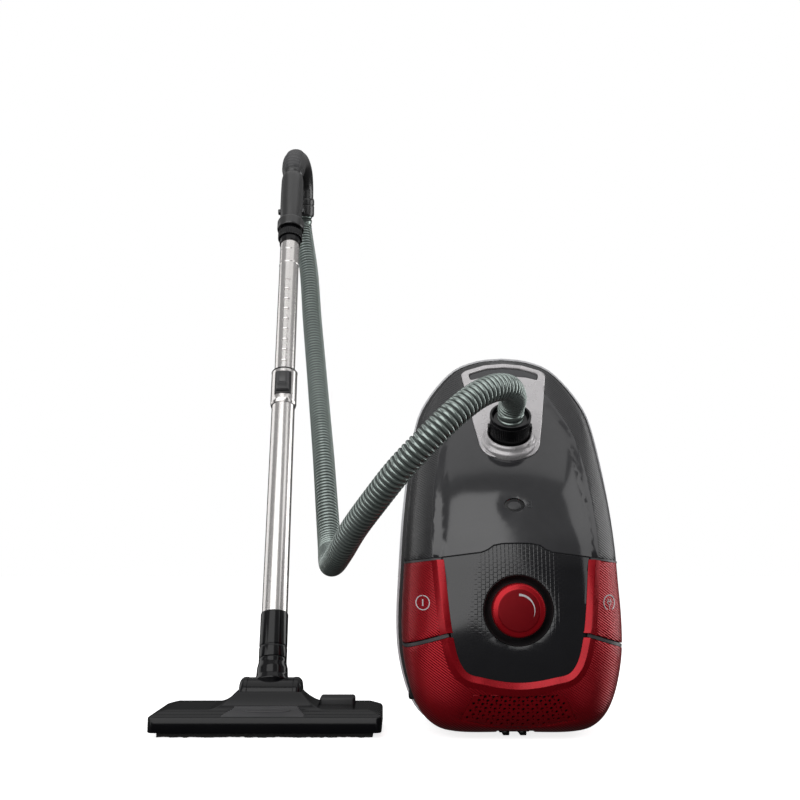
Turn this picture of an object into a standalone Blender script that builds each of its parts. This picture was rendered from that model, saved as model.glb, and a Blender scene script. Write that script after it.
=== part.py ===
"""Bagged cylinder vacuum cleaner, parked on its rear end, with hose, telescopic wand and floor head.

Frame: metres, +Z up. The origin is on the standing face at the canister's rear end. The canister's
top cover faces -Y and its underside, with the wheels, faces +Y. The wand stands to the left, at -X.
"""
import math

import bmesh
import bpy
import numpy as np
from mathutils import Matrix, Vector
from mathutils.geometry import delaunay_2d_cdt

# ---------------------------------------------------------------- driving dimensions
GAP = 0.0003                      # clearance between pieces that touch
WALL = 0.003                      # moulded wall thickness
ACROSS = Matrix.Rotation(math.radians(90), 4, "Y")  # turns a lathed piece's axis from Z to X

# canister, as seen from the front: half outline (x, z) from the standing end to the nose
OUTLINE = [(0.0, 0.004), (0.075, 0.004), (0.108, 0.014), (0.129, 0.041), (0.1425, 0.088), (0.146, 0.135),
           (0.1435, 0.195), (0.137, 0.286), (0.122, 0.387), (0.105, 0.431), (0.070, 0.4725), (0.035, 0.488),
           (0.0, 0.492)]
CENTRE_Z = 0.20                   # height that the outline's polar form is measured from
UPPER_SHARE = (0.952, 0.99)       # the upper covers' outline against the lower shell's, in x and z
UNDERSIDE_Y = 0.085
CROWN = [(0.0, 0.120), (0.20, 0.120), (0.28, 0.107), (0.35, 0.086), (0.42, 0.063), (0.50, 0.042)]
SIDE_POWER, END_POWER = 2.8, 4.2  # how square the cover's edge is, at the sides and at the standing end

# control layout on the top cover (x, z)
LID_LINE = [(0.150, 0.2105), (0.043, 0.2243), (0.035, 0.2275), (0.028, 0.2325), (0.018, 0.2347),
            (0.0, 0.2352)]
TONGUE = [(0.0915, 0.2185), (0.081, 0.126), (0.067, 0.0845), (0.040, 0.0735), (0.0, 0.0682)]
BUTTON_FOOT = [(0.083, 0.1290), (0.150, 0.1045)]
DIVIDER_DEPTH = 0.0046
BEZEL = [(0.0, 0.342), (0.026, 0.3445), (0.0375, 0.3545), (0.0455, 0.394), (0.0575, 0.4645),
         (0.052, 0.4695), (0.026, 0.4775), (0.0, 0.4800)]
WINDOW = [(0.0, 0.4610), (0.030, 0.4585), (0.0455, 0.4545), (0.0475, 0.4640), (0.042, 0.4665),
          (0.022, 0.4725), (0.0, 0.4742)]
GRILLE = [(0.0535, 0.0575), (0.0700, 0.0270), (0.036, 0.0195), (0.0, 0.0165)]
DIAL_Z, DIAL_R, DISH_R = 0.156, 0.034, 0.0420
INDICATOR_Z, INDICATOR_HALF = 0.2825, (0.0125, 0.0085)

# hose inlet
INLET_Z, INLET_TILT = 0.372, math.radians(45)
INLET_HOLE_R, CUFF_R, CUFF_LENGTH = 0.0300, 0.0265, 0.036

# hose
HOSE_D, HOSE_BORE, HOSE_SIDES = 0.034, 0.030, 12
# middle stretch of the hose's centre line, from in front of the inlet to behind the handle
HOSE_MIDDLE = [(0.000, -0.098, 0.415), (-0.010, -0.134, 0.421), (-0.029, -0.158, 0.418),
               (-0.054, -0.178, 0.404), (-0.083, -0.192, 0.379), (-0.113, -0.192, 0.349),
               (-0.143, -0.178, 0.318), (-0.170, -0.150, 0.286), (-0.196, -0.108, 0.254),
               (-0.215, -0.060, 0.226), (-0.229, 0.005, 0.210), (-0.237, 0.075, 0.212),
               (-0.243, 0.135, 0.237), (-0.251, 0.190, 0.293), (-0.261, 0.255, 0.368),
               (-0.273, 0.325, 0.450), (-0.286, 0.395, 0.542), (-0.299, 0.455, 0.639),
               (-0.310, 0.505, 0.735)]

# running gear
WHEEL_R, WHEEL_WIDTH, WHEEL_X, WHEEL_Y, WHEEL_Z = 0.050, 0.026, 0.113, 0.062, 0.090
CASTER_Z, CASTER_R = 0.400, 0.016

# middle of the motor (x, y), and of the cord reel
MOTOR = (-0.045, -0.005)
REEL = Vector((0.062, -0.030, 0.112))

# wand: heights are measured along the tube from the neck hinge
WAND_ORIGIN = Vector((-0.3088, 0.0160, 0.0373))
LEAN_BACK, LEAN_LEFT = math.radians(23.8), math.radians(1.46)
LOWER_R, UPPER_R, TUBE_WALL = 0.0175, 0.01585, 0.001
SOCKET_FOOT, SOCKET_TOP = 0.0500, 0.1130
COLLAR_FOOT, COLLAR_TOP, COLLAR_R = 0.4430, 0.5030, 0.0198
UPPER_FOOT, UPPER_TOP = 0.3600, 0.8000
NOTCH_FIRST, NOTCH_PITCH, NOTCHES = 0.5150, 0.0200, 9
HANDLE_FOOT = 0.7620
HANDLE_ROUTE = [(0.0, 0.0, 0.762), (0.0, 0.0, 0.840), (0.0, 0.0, 0.903), (0.0, 0.001, 0.920),
                (0.0, 0.005, 0.940), (0.001, 0.019, 0.972), (0.004, 0.049, 1.000), (0.007, 0.083, 1.009),
                (0.007, 0.112, 1.003), (0.006, 0.128, 0.986)]
HANDLE_RADII = [0.0172, 0.0190, 0.0190, 0.0172, 0.0200, 0.0210, 0.0200, 0.0190, 0.0185, 0.0185]
HANDLE_BORE = 0.0140
SWIVEL_SEAT = 0.0256               # depth of the shoulder that the hose end rests on

# floor head
HEAD_X, HEAD_HALF = -0.3065, 0.1430
HEAD_FRONT, HEAD_REAR = -0.0742, 0.0390
HEAD_BASE, HEAD_TOP = 0.0065, 0.0300
BARREL_R, BARREL_HALF = 0.0255, 0.0405
PEDAL_X = -0.2220


# ---------------------------------------------------------------- small tools
def clear_scene():
    for item in list(bpy.data.objects):
        bpy.data.objects.remove(item, do_unlink=True)


def material(name, colour, roughness, metallic=0.0):
    mat = bpy.data.materials.new(name)
    mat.use_nodes = True
    shader = mat.node_tree.nodes["Principled BSDF"]
    shader.inputs["Base Color"].default_value = (*colour, 1.0)
    shader.inputs["Roughness"].default_value = roughness
    shader.inputs["Metallic"].default_value = metallic
    return mat


def finish(name, mesh_data, colour, matrix=None):
    """Make one named object, with its own material and outward faces, from a bmesh."""
    bmesh.ops.recalc_face_normals(mesh_data, faces=mesh_data.faces)
    mesh = bpy.data.meshes.new(name)
    mesh_data.to_mesh(mesh)
    mesh_data.free()
    item = bpy.data.objects.new(name, mesh)
    bpy.context.scene.collection.objects.link(item)
    mesh.materials.append(material(name + "_finish", *colour))
    mesh.shade_smooth()
    mesh.set_sharp_from_angle(angle=math.radians(35))
    if matrix is not None:
        item.matrix_world = matrix
    return item


def turned(name, profile, colour, matrix=None, sides=28, closed=False):
    """Turn a profile of (radius, height) points about Z. A closed profile makes a ring or a tube."""
    work = bmesh.new()
    rings = []
    for radius, height in profile:
        count = sides if radius > 1e-6 else 1
        angles = [2 * math.pi * k / sides for k in range(count)]
        rings.append([work.verts.new((radius * math.cos(a), radius * math.sin(a), height)) for a in angles])
    pairs = list(zip(rings, rings[1:])) + ([(rings[-1], rings[0])] if closed else [])
    for lower, upper in pairs:
        for k in range(sides):
            n = (k + 1) % sides
            corners = [lower[k % len(lower)], lower[n % len(lower)], upper[n % len(upper)],
                       upper[k % len(upper)]]
            unique = list(dict.fromkeys(corners))
            if len(unique) > 2:
                work.faces.new(unique)
    return finish(name, work, colour, matrix)


def lofted(name, rings, colour, matrix=None, closed=False):
    """Skin equal point rings: open ends get flat caps, a closed list joins its last ring to its first."""
    work = bmesh.new()
    rows = [[work.verts.new(p) for p in ring] for ring in rings]
    pairs = list(zip(rows, rows[1:])) + ([(rows[-1], rows[0])] if closed else [])
    for lower, upper in pairs:
        for k in range(len(lower)):
            n = (k + 1) % len(lower)
            work.faces.new((lower[k], lower[n], upper[n], upper[k]))
    if not closed:
        work.faces.new(rows[0])
        work.faces.new(rows[-1])
    return finish(name, work, colour, matrix)


def block(name, low, high, colour, matrix=None, round_by=0.0):
    """A box between two corners, with rounded edges."""
    work = bmesh.new()
    bmesh.ops.create_cube(work, size=1.0)
    for vert in work.verts:
        vert.co = Vector([(a + b) / 2 + (b - a) * c for a, b, c in zip(low, high, vert.co)])
    if round_by:
        bmesh.ops.bevel(work, geom=work.edges[:], offset=round_by, segments=2, profile=0.5, affect="EDGES")
    return finish(name, work, colour, matrix)


def plate(name, points, depth, colour, matrix=None, hole=None):
    """Extrude an outline of (x, y) points along Z, with an optional hole of as many points."""
    low = [(x, y, 0.0) for x, y in points]
    high = [(x, y, depth) for x, y in points]
    if hole is None:
        return lofted(name, [low, high], colour, matrix)
    inner_high = [(x, y, depth) for x, y in hole]
    inner_low = [(x, y, 0.0) for x, y in hole]
    return lofted(name, [low, high, inner_high, inner_low], colour, matrix, closed=True)


def cut(item, *cutters):
    """Take cutters away from an item for good."""
    for cutter in cutters:
        step = item.modifiers.new("cut", "BOOLEAN")
        step.operation = "DIFFERENCE"
        step.solver = "EXACT"
        step.object = cutter
        bake(item)
        bpy.data.objects.remove(cutter, do_unlink=True)
    return item


def join(item, *others):
    """Unite other solids with an item for good."""
    for other in others:
        step = item.modifiers.new("join", "BOOLEAN")
        step.operation = "UNION"
        step.solver = "EXACT"
        step.object = other
        bake(item)
        bpy.data.objects.remove(other, do_unlink=True)
    return item


def bake(item):
    """Replace an item's mesh by what its modifiers make of it."""
    bpy.context.view_layer.update()
    graph = bpy.context.evaluated_depsgraph_get()
    mesh = bpy.data.meshes.new_from_object(item.evaluated_get(graph), depsgraph=graph)
    item.modifiers.clear()
    item.data = mesh


def smooth_curve(points, steps, loop=False):
    """Points along a smooth curve through the given ones."""
    data = np.array(points, float)
    count = len(data)
    result = []
    for k in range(count if loop else count - 1):
        before = data[(k - 1) % count] if loop or k > 0 else 2 * data[0] - data[1]
        after = data[(k + 2) % count] if loop or k + 2 < count else 2 * data[-1] - data[-2]
        a, b = data[k], data[(k + 1) % count]
        for s in range(steps):
            t = s / steps
            result.append(0.5 * (2 * a + (b - before) * t + (2 * before - 5 * a + 4 * b - after) * t * t
                                 + (3 * a - before - 3 * b + after) * t ** 3))
    if not loop:
        result.append(data[-1])
    return np.array(result)


def mirrored(half):
    """A closed loop from a half outline that runs along +X between two points on the centre line."""
    half = [tuple(p) for p in half]
    return half + [(-x, z) for x, z in reversed(half) if x > 1e-6]


# ---------------------------------------------------------------- canister surface
def polar_table(share):
    curve = smooth_curve(OUTLINE, 12)
    x = curve[:, 0] * share[0]
    z = (curve[:, 1] - OUTLINE[0][1]) * share[1] + OUTLINE[0][1] - CENTRE_Z
    angle = np.arctan2(x, z)[::-1]
    return angle, np.hypot(x, z)[::-1]


LOWER_TABLE = polar_table((1.0, 1.0))
UPPER_TABLE = polar_table(UPPER_SHARE)


def reach(x, z, table=UPPER_TABLE):
    """The outline's distance from its centre, in the direction of a point."""
    return float(np.interp(math.atan2(abs(x), z - CENTRE_Z), *table))


def parting(z):
    """How far back the parting line lies at a height: it drops towards the underside at the nose."""
    t = min(max((z - 0.20) / 0.29, 0.0), 1.0)
    return 0.050 * t * t * (3 - 2 * t)


def power(x, z):
    """The cover's edge is squarer towards the standing end."""
    down = max(0.0, -math.cos(math.atan2(abs(x), z - CENTRE_Z)))
    return SIDE_POWER + (END_POWER - SIDE_POWER) * down ** 2


def cover(x, z):
    """The outer surface of the top cover over a point of its outline."""
    share = min(math.hypot(x, z - CENTRE_Z) / reach(x, z), 1.0)
    n = power(x, z)
    rise = float(np.interp(z, *zip(*CROWN)))
    return Vector((x, parting(z) - rise * max(0.0, 1 - share ** n) ** (1 / n), z))


def spread(x, z):
    """Move a point of the outline so that equal steps near the edge are equal steps down the cover's side."""
    r = math.hypot(x, z - CENTRE_Z)
    if r < 1e-9:
        return 0.0, 0.0
    limit = reach(x, z)
    share = 2 / math.pi * math.asin(min(r / limit, 1.0) ** (power(x, z) / 2))
    return x / r * limit * share, (z - CENTRE_Z) / r * limit * share


def gather(u, v):
    """The inverse of spread."""
    r = math.hypot(u, v)
    if r < 1e-9:
        return 0.0, CENTRE_Z
    limit = reach(u, v + CENTRE_Z)
    share = math.sin(min(r / limit, 1.0) * math.pi / 2) ** (2 / power(u, v + CENTRE_Z))
    return u / r * limit * share, v / r * limit * share + CENTRE_Z


def outward(x, z):
    """The cover's unit normal."""
    share = math.hypot(x, z - CENTRE_Z) / reach(x, z)
    if share > 0.995:
        x, z = x * 0.995 / share, (z - CENTRE_Z) * 0.995 / share + CENTRE_Z
    e = 0.0004
    across = cover(x + e, z) - cover(x - e, z)
    along = cover(x, z + e) - cover(x, z - e)
    return along.cross(across).normalized() * -1


def inside(loop, x, z):
    hit = False
    for (x0, z0), (x1, z1) in zip(loop, loop[1:] + loop[:1]):
        if (z0 > z) != (z1 > z) and x < (x1 - x0) * (z - z0) / (z1 - z0) + x0:
            hit = not hit
    return hit


def shrink(loop, by):
    """Move a loop's points inwards, or outwards for a negative amount."""
    area = sum(a[0] * b[1] - b[0] * a[1] for a, b in zip(loop, loop[1:] + loop[:1]))
    turn = 1 if area > 0 else -1
    result = []
    for k, (x, z) in enumerate(loop):
        (xa, za), (xb, zb) = loop[k - 1], loop[(k + 1) % len(loop)]
        first = Vector((z - za, xa - x)).normalized() if (x - xa or z - za) else Vector((0, 0))
        second = Vector((zb - z, x - xb)).normalized() if (xb - x or zb - z) else first
        normal = (first + second)
        normal = normal / max(normal.length_squared / 2, 0.5)
        result.append((x - turn * normal.x * by, z - turn * normal.y * by))
    return result


def densify(loop, step):
    """Add points so that no side of a loop is longer than a step."""
    result = []
    for (x0, z0), (x1, z1) in zip(loop, loop[1:] + loop[:1]):
        parts = max(1, math.ceil(math.hypot(x1 - x0, z1 - z0) / step))
        result += [(x0 + (x1 - x0) * k / parts, z0 + (z1 - z0) * k / parts) for k in range(parts)]
    return result


def onto_outline(x, z):
    """Move a point that is beyond the cover's outline, or just short of it, onto it."""
    r, limit = math.hypot(x, z - CENTRE_Z), reach(x, z)
    if r < limit - 0.0015:
        return x, z
    return x * limit / r, (z - CENTRE_Z) * limit / r + CENTRE_Z


def skin(name, loop, colour, holes=(), lift=0.0, wall=WALL, step=0.018, trim=0.0):
    """A panel of the top cover: the loop's area of its surface, given a wall thickness.

    Its edge at the parting line can be trimmed back by a distance."""
    borders = [[onto_outline(*p) for p in densify(shrink(loop, GAP / 2), step)]]
    borders += [densify(shrink(hole, -GAP / 2), step) for hole in holes]
    points, edges = [], []
    for border in borders:
        start = len(points)
        points += [Vector(spread(*p)) for p in border]
        edges += [(start + k, start + (k + 1) % len(border)) for k in range(len(border))]
    flat = [[tuple(spread(*p)) for p in border] for border in borders]
    rim = np.array([p for line in flat for p in line])
    low, high = rim.min(axis=0), rim.max(axis=0)
    for i in range(int((high[0] - low[0]) / step) + 1):
        for j in range(int((high[1] - low[1]) / step) + 1):
            u, v = low[0] + (i + 0.5) * step, low[1] + (j + 0.5) * step
            clear = np.min(np.hypot(rim[:, 0] - u, rim[:, 1] - v)) > 0.45 * step
            if clear and inside(flat[0], u, v) and not any(inside(line, u, v) for line in flat[1:]):
                points.append(Vector((u, v)))
    places, _, triangles, *_ = delaunay_2d_cdt(points, edges, [], 0, 1e-7)
    kept = []
    for triangle in triangles:
        u, v = sum((places[k] for k in triangle), Vector((0, 0))) / 3
        if inside(flat[0], u, v) and not any(inside(line, u, v) for line in flat[1:]):
            kept.append(triangle)
    work = bmesh.new()
    outer, inner = {}, {}
    for k in sorted({k for triangle in kept for k in triangle}):
        x, z = gather(*places[k])
        spot, normal = cover(x, z), outward(x, z)
        for layer, depth in ((outer, lift), (inner, lift - wall)):
            corner = spot + normal * depth
            corner.y = min(corner.y, parting(corner.z) - trim)
            layer[k] = work.verts.new(corner)
    sides = {}
    for a, b, c in kept:
        work.faces.new((outer[a], outer[b], outer[c]))
        work.faces.new((inner[c], inner[b], inner[a]))
        for start, end in ((a, b), (b, c), (c, a)):
            sides[(start, end)] = True
    for start, end in sides:
        if (end, start) not in sides:
            work.faces.new((outer[end], outer[start], inner[start], inner[end]))
    return finish(name, work, colour)


def outline_stretch(z0, z1, side, steps=10):
    """Points of the cover's outline between two heights, on one side."""
    angles = np.linspace(edge_angle(z0), edge_angle(z1), steps)
    limits = np.interp(angles, *UPPER_TABLE)
    places = zip(angles, limits)
    return [(side * float(r * math.sin(a)), CENTRE_Z + float(r * math.cos(a))) for a, r in places]


def edge_angle(z):
    """The polar angle at which the cover's outline is at a height."""
    angle, limit = UPPER_TABLE
    heights = CENTRE_Z + limit * np.cos(angle)
    return float(np.interp(-z, -heights, angle))


def level(line, x):
    """The height of a line of (x, z) points at a distance from the centre line."""
    return float(np.interp(abs(x), *zip(*sorted(line))))


def outline_ring(level_share, y, shrink_by, table, count=44, drop=0.0):
    """One ring of the canister's body, scaled about the middle of the standing end."""
    ring = []
    foot = OUTLINE[0][1]
    for k in range(count):
        angle = 2 * math.pi * k / count
        limit = float(np.interp(abs(math.atan2(math.sin(angle), math.cos(angle))), *table)) - shrink_by
        x, z = limit * math.sin(angle), CENTRE_Z + limit * math.cos(angle)
        x, z = x * level_share, (z - foot) * level_share + foot
        back = parting(z) if y is None else y(z)
        ring.append((x, back + drop, max(z, foot + shrink_by)))
    return ring


# ---------------------------------------------------------------- colours: (rgb, roughness, metallic)
GREY = ((0.075, 0.075, 0.080), 0.35)
SILVER = ((0.62, 0.61, 0.62), 0.28, 0.55)
RED = ((0.42, 0.012, 0.020), 0.30)
PALE = ((0.52, 0.52, 0.54), 0.40)
BLACK = ((0.012, 0.012, 0.013), 0.35)
DARK = ((0.040, 0.040, 0.043), 0.45)
METAL = ((0.62, 0.58, 0.56), 0.25, 1.0)
STEEL = ((0.55, 0.55, 0.56), 0.35, 1.0)
RUBBER = ((0.020, 0.020, 0.020), 0.80)
HOSE = ((0.13, 0.17, 0.155), 0.42, 0.2)
PAPER = ((0.68, 0.66, 0.60), 0.90)
FILTER = ((0.80, 0.80, 0.78), 0.95)
COPPER = ((0.45, 0.20, 0.10), 0.40, 0.9)
BOARD = ((0.03, 0.16, 0.07), 0.50)


# ---------------------------------------------------------------- canister covers
def between(y_low, share):
    return lambda z: parting(z) + 0.0033 + (y_low - parting(z) - 0.0033) * share


def lower_shell():
    """The tub that carries everything, open towards the top cover."""
    levels = [(1.0, 0.0), (1.0, 0.35), (0.985, 0.72), (0.955, 0.92), (0.90, 1.0)]
    outer = [outline_ring(s, between(UNDERSIDE_Y, t), 0.0, LOWER_TABLE) for s, t in levels]
    inner = [outline_ring(s, between(UNDERSIDE_Y - WALL, t), WALL, LOWER_TABLE) for s, t in levels]
    item = lofted("lower_shell", list(reversed(inner)) + outer, PALE)
    slots = []
    for side in (-1, 1):
        low = (side * WHEEL_X - WHEEL_WIDTH / 2 - 0.003, WHEEL_Y - 0.045, WHEEL_Z - WHEEL_R - 0.003)
        high = (side * WHEEL_X + WHEEL_WIDTH / 2 + 0.003, WHEEL_Y + 0.06, WHEEL_Z + WHEEL_R + 0.003)
        slots.append(block("slot", low, high, PALE))
    seat = Matrix.Translation((0, 0.0, CASTER_Z)) @ Matrix.Rotation(math.radians(-90), 4, "X")
    slots.append(turned("slot", [(0, 0.0), (0.0048, 0.0), (0.0048, 0.2), (0, 0.2)], PALE, seat))
    return cut(item, *slots)


def seam_band():
    """The dark sealing strip between the covers and the lower shell."""
    rings = []
    for drop, inset in ((0.0006, 0.0), (0.0030, 0.0), (0.0030, 0.006), (0.0006, 0.006)):
        rings.append(outline_ring(1.0, None, inset + 0.0035, LOWER_TABLE, drop=drop))
    return lofted("seam_band", rings, BLACK, closed=True)


def lid_edge(x):
    return level(LID_LINE, x)


def lid():
    top = [p for p in outline_stretch(lid_edge(0.137), 0.4905, 1, 16) if p[0] > 0.004]
    line = [(x, z) for x, z in reversed(LID_LINE) if x < 0.14]
    half = line + [(0.1325, lid_edge(0.1325))] + top[1:] + [(0.0, outline_stretch(0.1, 0.4905, 1)[-1][1])]
    half[-1] = (0.0, CENTRE_Z + reach(0.0, 1.0))
    holes = [mirrored([(x * 1.0, z) for x, z in BEZEL]), oval(INDICATOR_Z, *INDICATOR_HALF)]
    return skin("lid", mirrored(half), GREY, holes)


def oval(z, half_x, half_z, count=14, x=0.0):
    return [(x + half_x * math.cos(2 * math.pi * k / count), z + half_z * math.sin(2 * math.pi * k / count))
            for k in range(count)]


def inlet_bezel():
    hole = oval(INLET_Z, INLET_HOLE_R, INLET_HOLE_R * 0.98, 20)
    return skin("inlet_bezel", mirrored(BEZEL), SILVER, [hole, mirrored(WINDOW)], lift=0.0015)


def centre_panel():
    half = [(x, z) for x, z in LID_LINE if x < 0.0915]
    half = list(reversed(half)) + [(0.0915, lid_edge(0.0915))] + TONGUE[1:]
    return skin("centre_panel", mirrored(half), DARK, [oval(DIAL_Z, DISH_R + GAP, DISH_R + GAP, 28)])


def side_button(name, side):
    foot = level(BUTTON_FOOT, 0.133)
    edge = outline_stretch(lid_edge(0.1365), foot, 1, 8)
    loop = [(0.0925, lid_edge(0.0925))] + edge + [BUTTON_FOOT[0]]
    return skin(name, shrink([(side * x, z) for x, z in loop], 0.0005), RED, step=0.014, trim=0.0045)


def divider(name, side):
    foot = level(BUTTON_FOOT, 0.133)
    edge = outline_stretch(foot, foot - DIVIDER_DEPTH, 1, 3)
    (x0, z0), = BUTTON_FOOT[:1]
    loop = [(x0, z0)] + edge + [(x0 - 0.001, z0 - DIVIDER_DEPTH)]
    return skin(name, shrink([(side * x, z) for x, z in loop], 0.0005), DARK, step=0.012)


def red_shell():
    foot = level(BUTTON_FOOT, 0.133) - DIVIDER_DEPTH
    edge = outline_stretch(foot, OUTLINE[0][1] + 0.0005, 1, 14)
    start = (BUTTON_FOOT[0][0] - 0.001, BUTTON_FOOT[0][1] - DIVIDER_DEPTH)
    notch = [(0.024, OUTLINE[0][1] + 0.0005), (0.022, 0.0100), (0.0, 0.0100)]
    half = list(reversed(TONGUE[2:])) + [start] + [p for p in edge if p[0] > 0.03] + notch
    return skin("red_shell", mirrored(half), RED, [mirrored(GRILLE)])


def exhaust_grille():
    rows, columns = 2, 7
    item = skin("exhaust_grille", mirrored(GRILLE), RED, lift=-0.0004, step=0.012)
    slots = []
    for row in range(rows):
        z = 0.0320 + row * 0.0130
        for column in range(columns):
            x = (column - (columns - 1) / 2) * 0.0155 * (1.08 - 0.07 * row)
            slots.append(block("slot", (x - 0.0050, -0.16, z - 0.0028), (x + 0.0050, -0.03, z + 0.0028), RED))
    return cut(item, weld(slots))


def weld(items):
    """Gather separate cutters in one object."""
    work = bmesh.new()
    for item in items:
        work.from_mesh(item.data)
        bpy.data.objects.remove(item, do_unlink=True)
    return finish("cutters", work, RED)


def lid_latch():
    """The lid's release, in the bezel's window."""
    loop = mirrored(WINDOW)
    return skin("lid_latch", shrink(loop, 0.0005), GREY, lift=-0.0010, wall=0.0025, step=0.012)


def indicator():
    """The bag-full flag, behind its opening in the lid."""
    seat = Matrix.Translation(cover(0.0, INDICATOR_Z) + Vector((0, 0.013, 0)))
    block("indicator_flag", (-0.009, -0.0035, -0.005), (0.009, -0.0023, 0.007), RED, seat, 0.0003)


def dial_parts():
    spot = cover(0.0, DIAL_Z)
    axis = outward(0.0, DIAL_Z)
    seat = Matrix.Translation(spot) @ axis.to_track_quat("Z", "Y").to_matrix().to_4x4()
    dish = [(0.006, -0.0130), (0.0330, -0.0130), (0.0375, -0.0100), (DISH_R - 0.0006, -0.0004),
            (DISH_R - 0.0003, -0.0050), (0.0385, -0.0140), (0.0340, -0.0160), (0.006, -0.0160)]
    turned("dial_dish", dish, DARK, seat, 28, closed=True)
    knob = [(0, 0.0085), (0.026, 0.0085), (0.0305, 0.0068), (DIAL_R - 0.0016, -0.0010),
            (DIAL_R - 0.0022, -0.0105), (0.0285, -0.0118), (0.0055, -0.0118), (0.0055, -0.0200),
            (0, -0.0200)]
    turned("power_dial", knob, RED, seat, 28)
    board = Matrix.Translation(spot + Vector((0, 0.0215, 0)))
    block("circuit_board", (-0.035, 0.0, -0.025), (0.035, 0.0016, 0.025), BOARD, board)
    return seat


# ---------------------------------------------------------------- canister inside


def motor_group():
    x, y = MOTOR
    seat = Matrix.Translation((x, y, 0.0))
    can = [(0.018, 0.190), (0.047, 0.190), (0.050, 0.187), (0.050, 0.090), (0.047, 0.087), (0.030, 0.087),
           (0.030, 0.090), (0.047, 0.090), (0.047, 0.187), (0.018, 0.187)]
    turned("motor_housing", can, STEEL, seat, 28, closed=True)
    rotor = [(0, 0.0905), (0.004, 0.0905), (0.004, 0.100), (0.024, 0.102), (0.024, 0.150), (0.004, 0.152),
             (0.004, 0.160), (0.042, 0.163), (0.042, 0.165), (0.016, 0.180), (0, 0.180)]
    turned("motor_rotor", rotor, COPPER, seat, 24)
    seal = [(0.030, 0.1903), (0.040, 0.1903), (0.038, 0.2045), (0.030, 0.2045)]
    turned("motor_seal", seal, RUBBER, seat, 24, closed=True)
    wall = [(0.118, 0.070), (0.118, -0.035), (0.098, -0.062), (0.062, -0.086), (0.0, -0.096)]
    wall = wall + [(-px, py) for px, py in reversed(wall[:-1])]
    item = plate("bulkhead", wall, 0.003, DARK, Matrix.Translation((0, 0, 0.2050)))
    port = turned("slot", [(0, -0.01), (0.028, -0.01), (0.028, 0.01), (0, 0.01)], DARK,
                  Matrix.Translation((x, y, 0.206)))
    cut(item, port)
    block("motor_filter", (x - 0.040, y - 0.034, 0.2084), (x + 0.040, y + 0.034, 0.2150), FILTER, None, 0.001)


def cord_reel():
    seat = Matrix.Translation(REEL) @ Matrix.Rotation(math.radians(90), 4, "X")
    drum = [(0.0054, -0.024), (0.050, -0.024), (0.050, -0.022), (0.030, -0.022), (0.030, 0.022),
            (0.050, 0.022), (0.050, 0.024), (0.0054, 0.024)]
    turned("cord_reel", drum, DARK, seat, 32, closed=True)
    turned("reel_axle", [(0, -0.030), (0.0050, -0.030), (0.0050, 0.030), (0, 0.030)], STEEL, seat, 16)
    lever = Matrix.Translation(REEL + Vector((0.0, 0.0, 0.060)))
    item = block("reel_brake_lever", (-0.020, -0.004, -0.0035), (0.030, 0.004, 0.0035), BLACK, lever, 0.001)
    pad = block("pad", (-0.018, -0.003, -0.0078), (-0.008, 0.003, 0.0), BLACK, lever)
    join(item, pad)


def bag_group():
    centre = cover(0.0, INLET_Z)
    axis = Vector((0, -math.sin(INLET_TILT), math.cos(INLET_TILT)))
    frame = Matrix.Translation(centre) @ axis.to_track_quat("Z", "Y").to_matrix().to_4x4()
    turn = [2 * math.pi * k / 24 for k in range(24)]
    circle = [(0.0215 * math.cos(a), 0.0215 * math.sin(a)) for a in turn]
    square = [(math.copysign(min(abs(c) * 1.6, 1) * 0.042, c), math.copysign(min(abs(s) * 1.6, 1) * 0.036, s))
              for c, s in ((math.cos(a), math.sin(a)) for a in turn)]
    plate("bag_collar", square, 0.0025, PAPER, frame @ Matrix.Translation((0, 0, -0.0330)), circle)
    wide = [(x * 1.10, y * 1.10) for x, y in square]
    bore = [(x * 1.15, y * 1.15) for x, y in circle]
    plate("bag_holder", wide, 0.0030, DARK, frame @ Matrix.Translation((0, 0, -0.0366)), bore)
    rings = []
    for k in range(1, 8):
        angle = math.pi * k / 8
        width, depth = math.sin(angle) ** 0.5, math.sin(angle) ** 0.55
        z = 0.282 - 0.056 * math.cos(angle)
        ring = []
        for j in range(20):
            a = 2 * math.pi * j / 20
            c, s = math.cos(a), math.sin(a)
            ring.append((math.copysign(abs(c) ** 0.7, c) * 0.098 * width,
                         0.020 + math.copysign(abs(s) ** 0.7, s) * 0.044 * depth, z))
        rings.append(ring)
    lofted("dust_bag", rings, PAPER)


def inlet_parts():
    """The socket in the lid, and the hose's swivelling end with its two catches."""
    base = cover(0.0, INLET_Z)
    axis = Vector((0, -math.sin(INLET_TILT), math.cos(INLET_TILT)))
    seat = Matrix.Translation(base) @ axis.to_track_quat("Z", "Y").to_matrix().to_4x4()
    socket = [(0.0225, -0.030), (0.0245, -0.030), (0.0245, 0.0015), (0.0225, 0.0015)]
    turned("inlet_socket", socket, BLACK, seat, 28, closed=True)
    cuff = [(0.0150, -0.022), (0.0221, -0.022), (0.0221, 0.0020), (CUFF_R - 0.0015, 0.0022),
            (CUFF_R - 0.0008, 0.020), (CUFF_R, 0.030), (CUFF_R, CUFF_LENGTH),
            (CUFF_R - 0.0025, CUFF_LENGTH), (0.0215, 0.0282), (0.0150, 0.0282)]
    item = turned("hose_cuff", cuff, BLACK, seat, 24, closed=True)
    pockets = []
    for side in (-1, 1):
        x = side * (CUFF_R - 0.001)
        pockets.append(block("slot", (x - 0.0025, -0.0050, 0.0075), (x + 0.0035, 0.0050, 0.0205), BLACK,
                             seat))
    cut(item, *pockets)
    for name, side in (("cuff_catch_left", -1), ("cuff_catch_right", 1)):
        x = side * CUFF_R
        block(name, (x - 0.0017, -0.0042, 0.0083), (x + 0.0022, 0.0042, 0.0197), BLACK, seat, 0.0006)
    return seat


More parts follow.
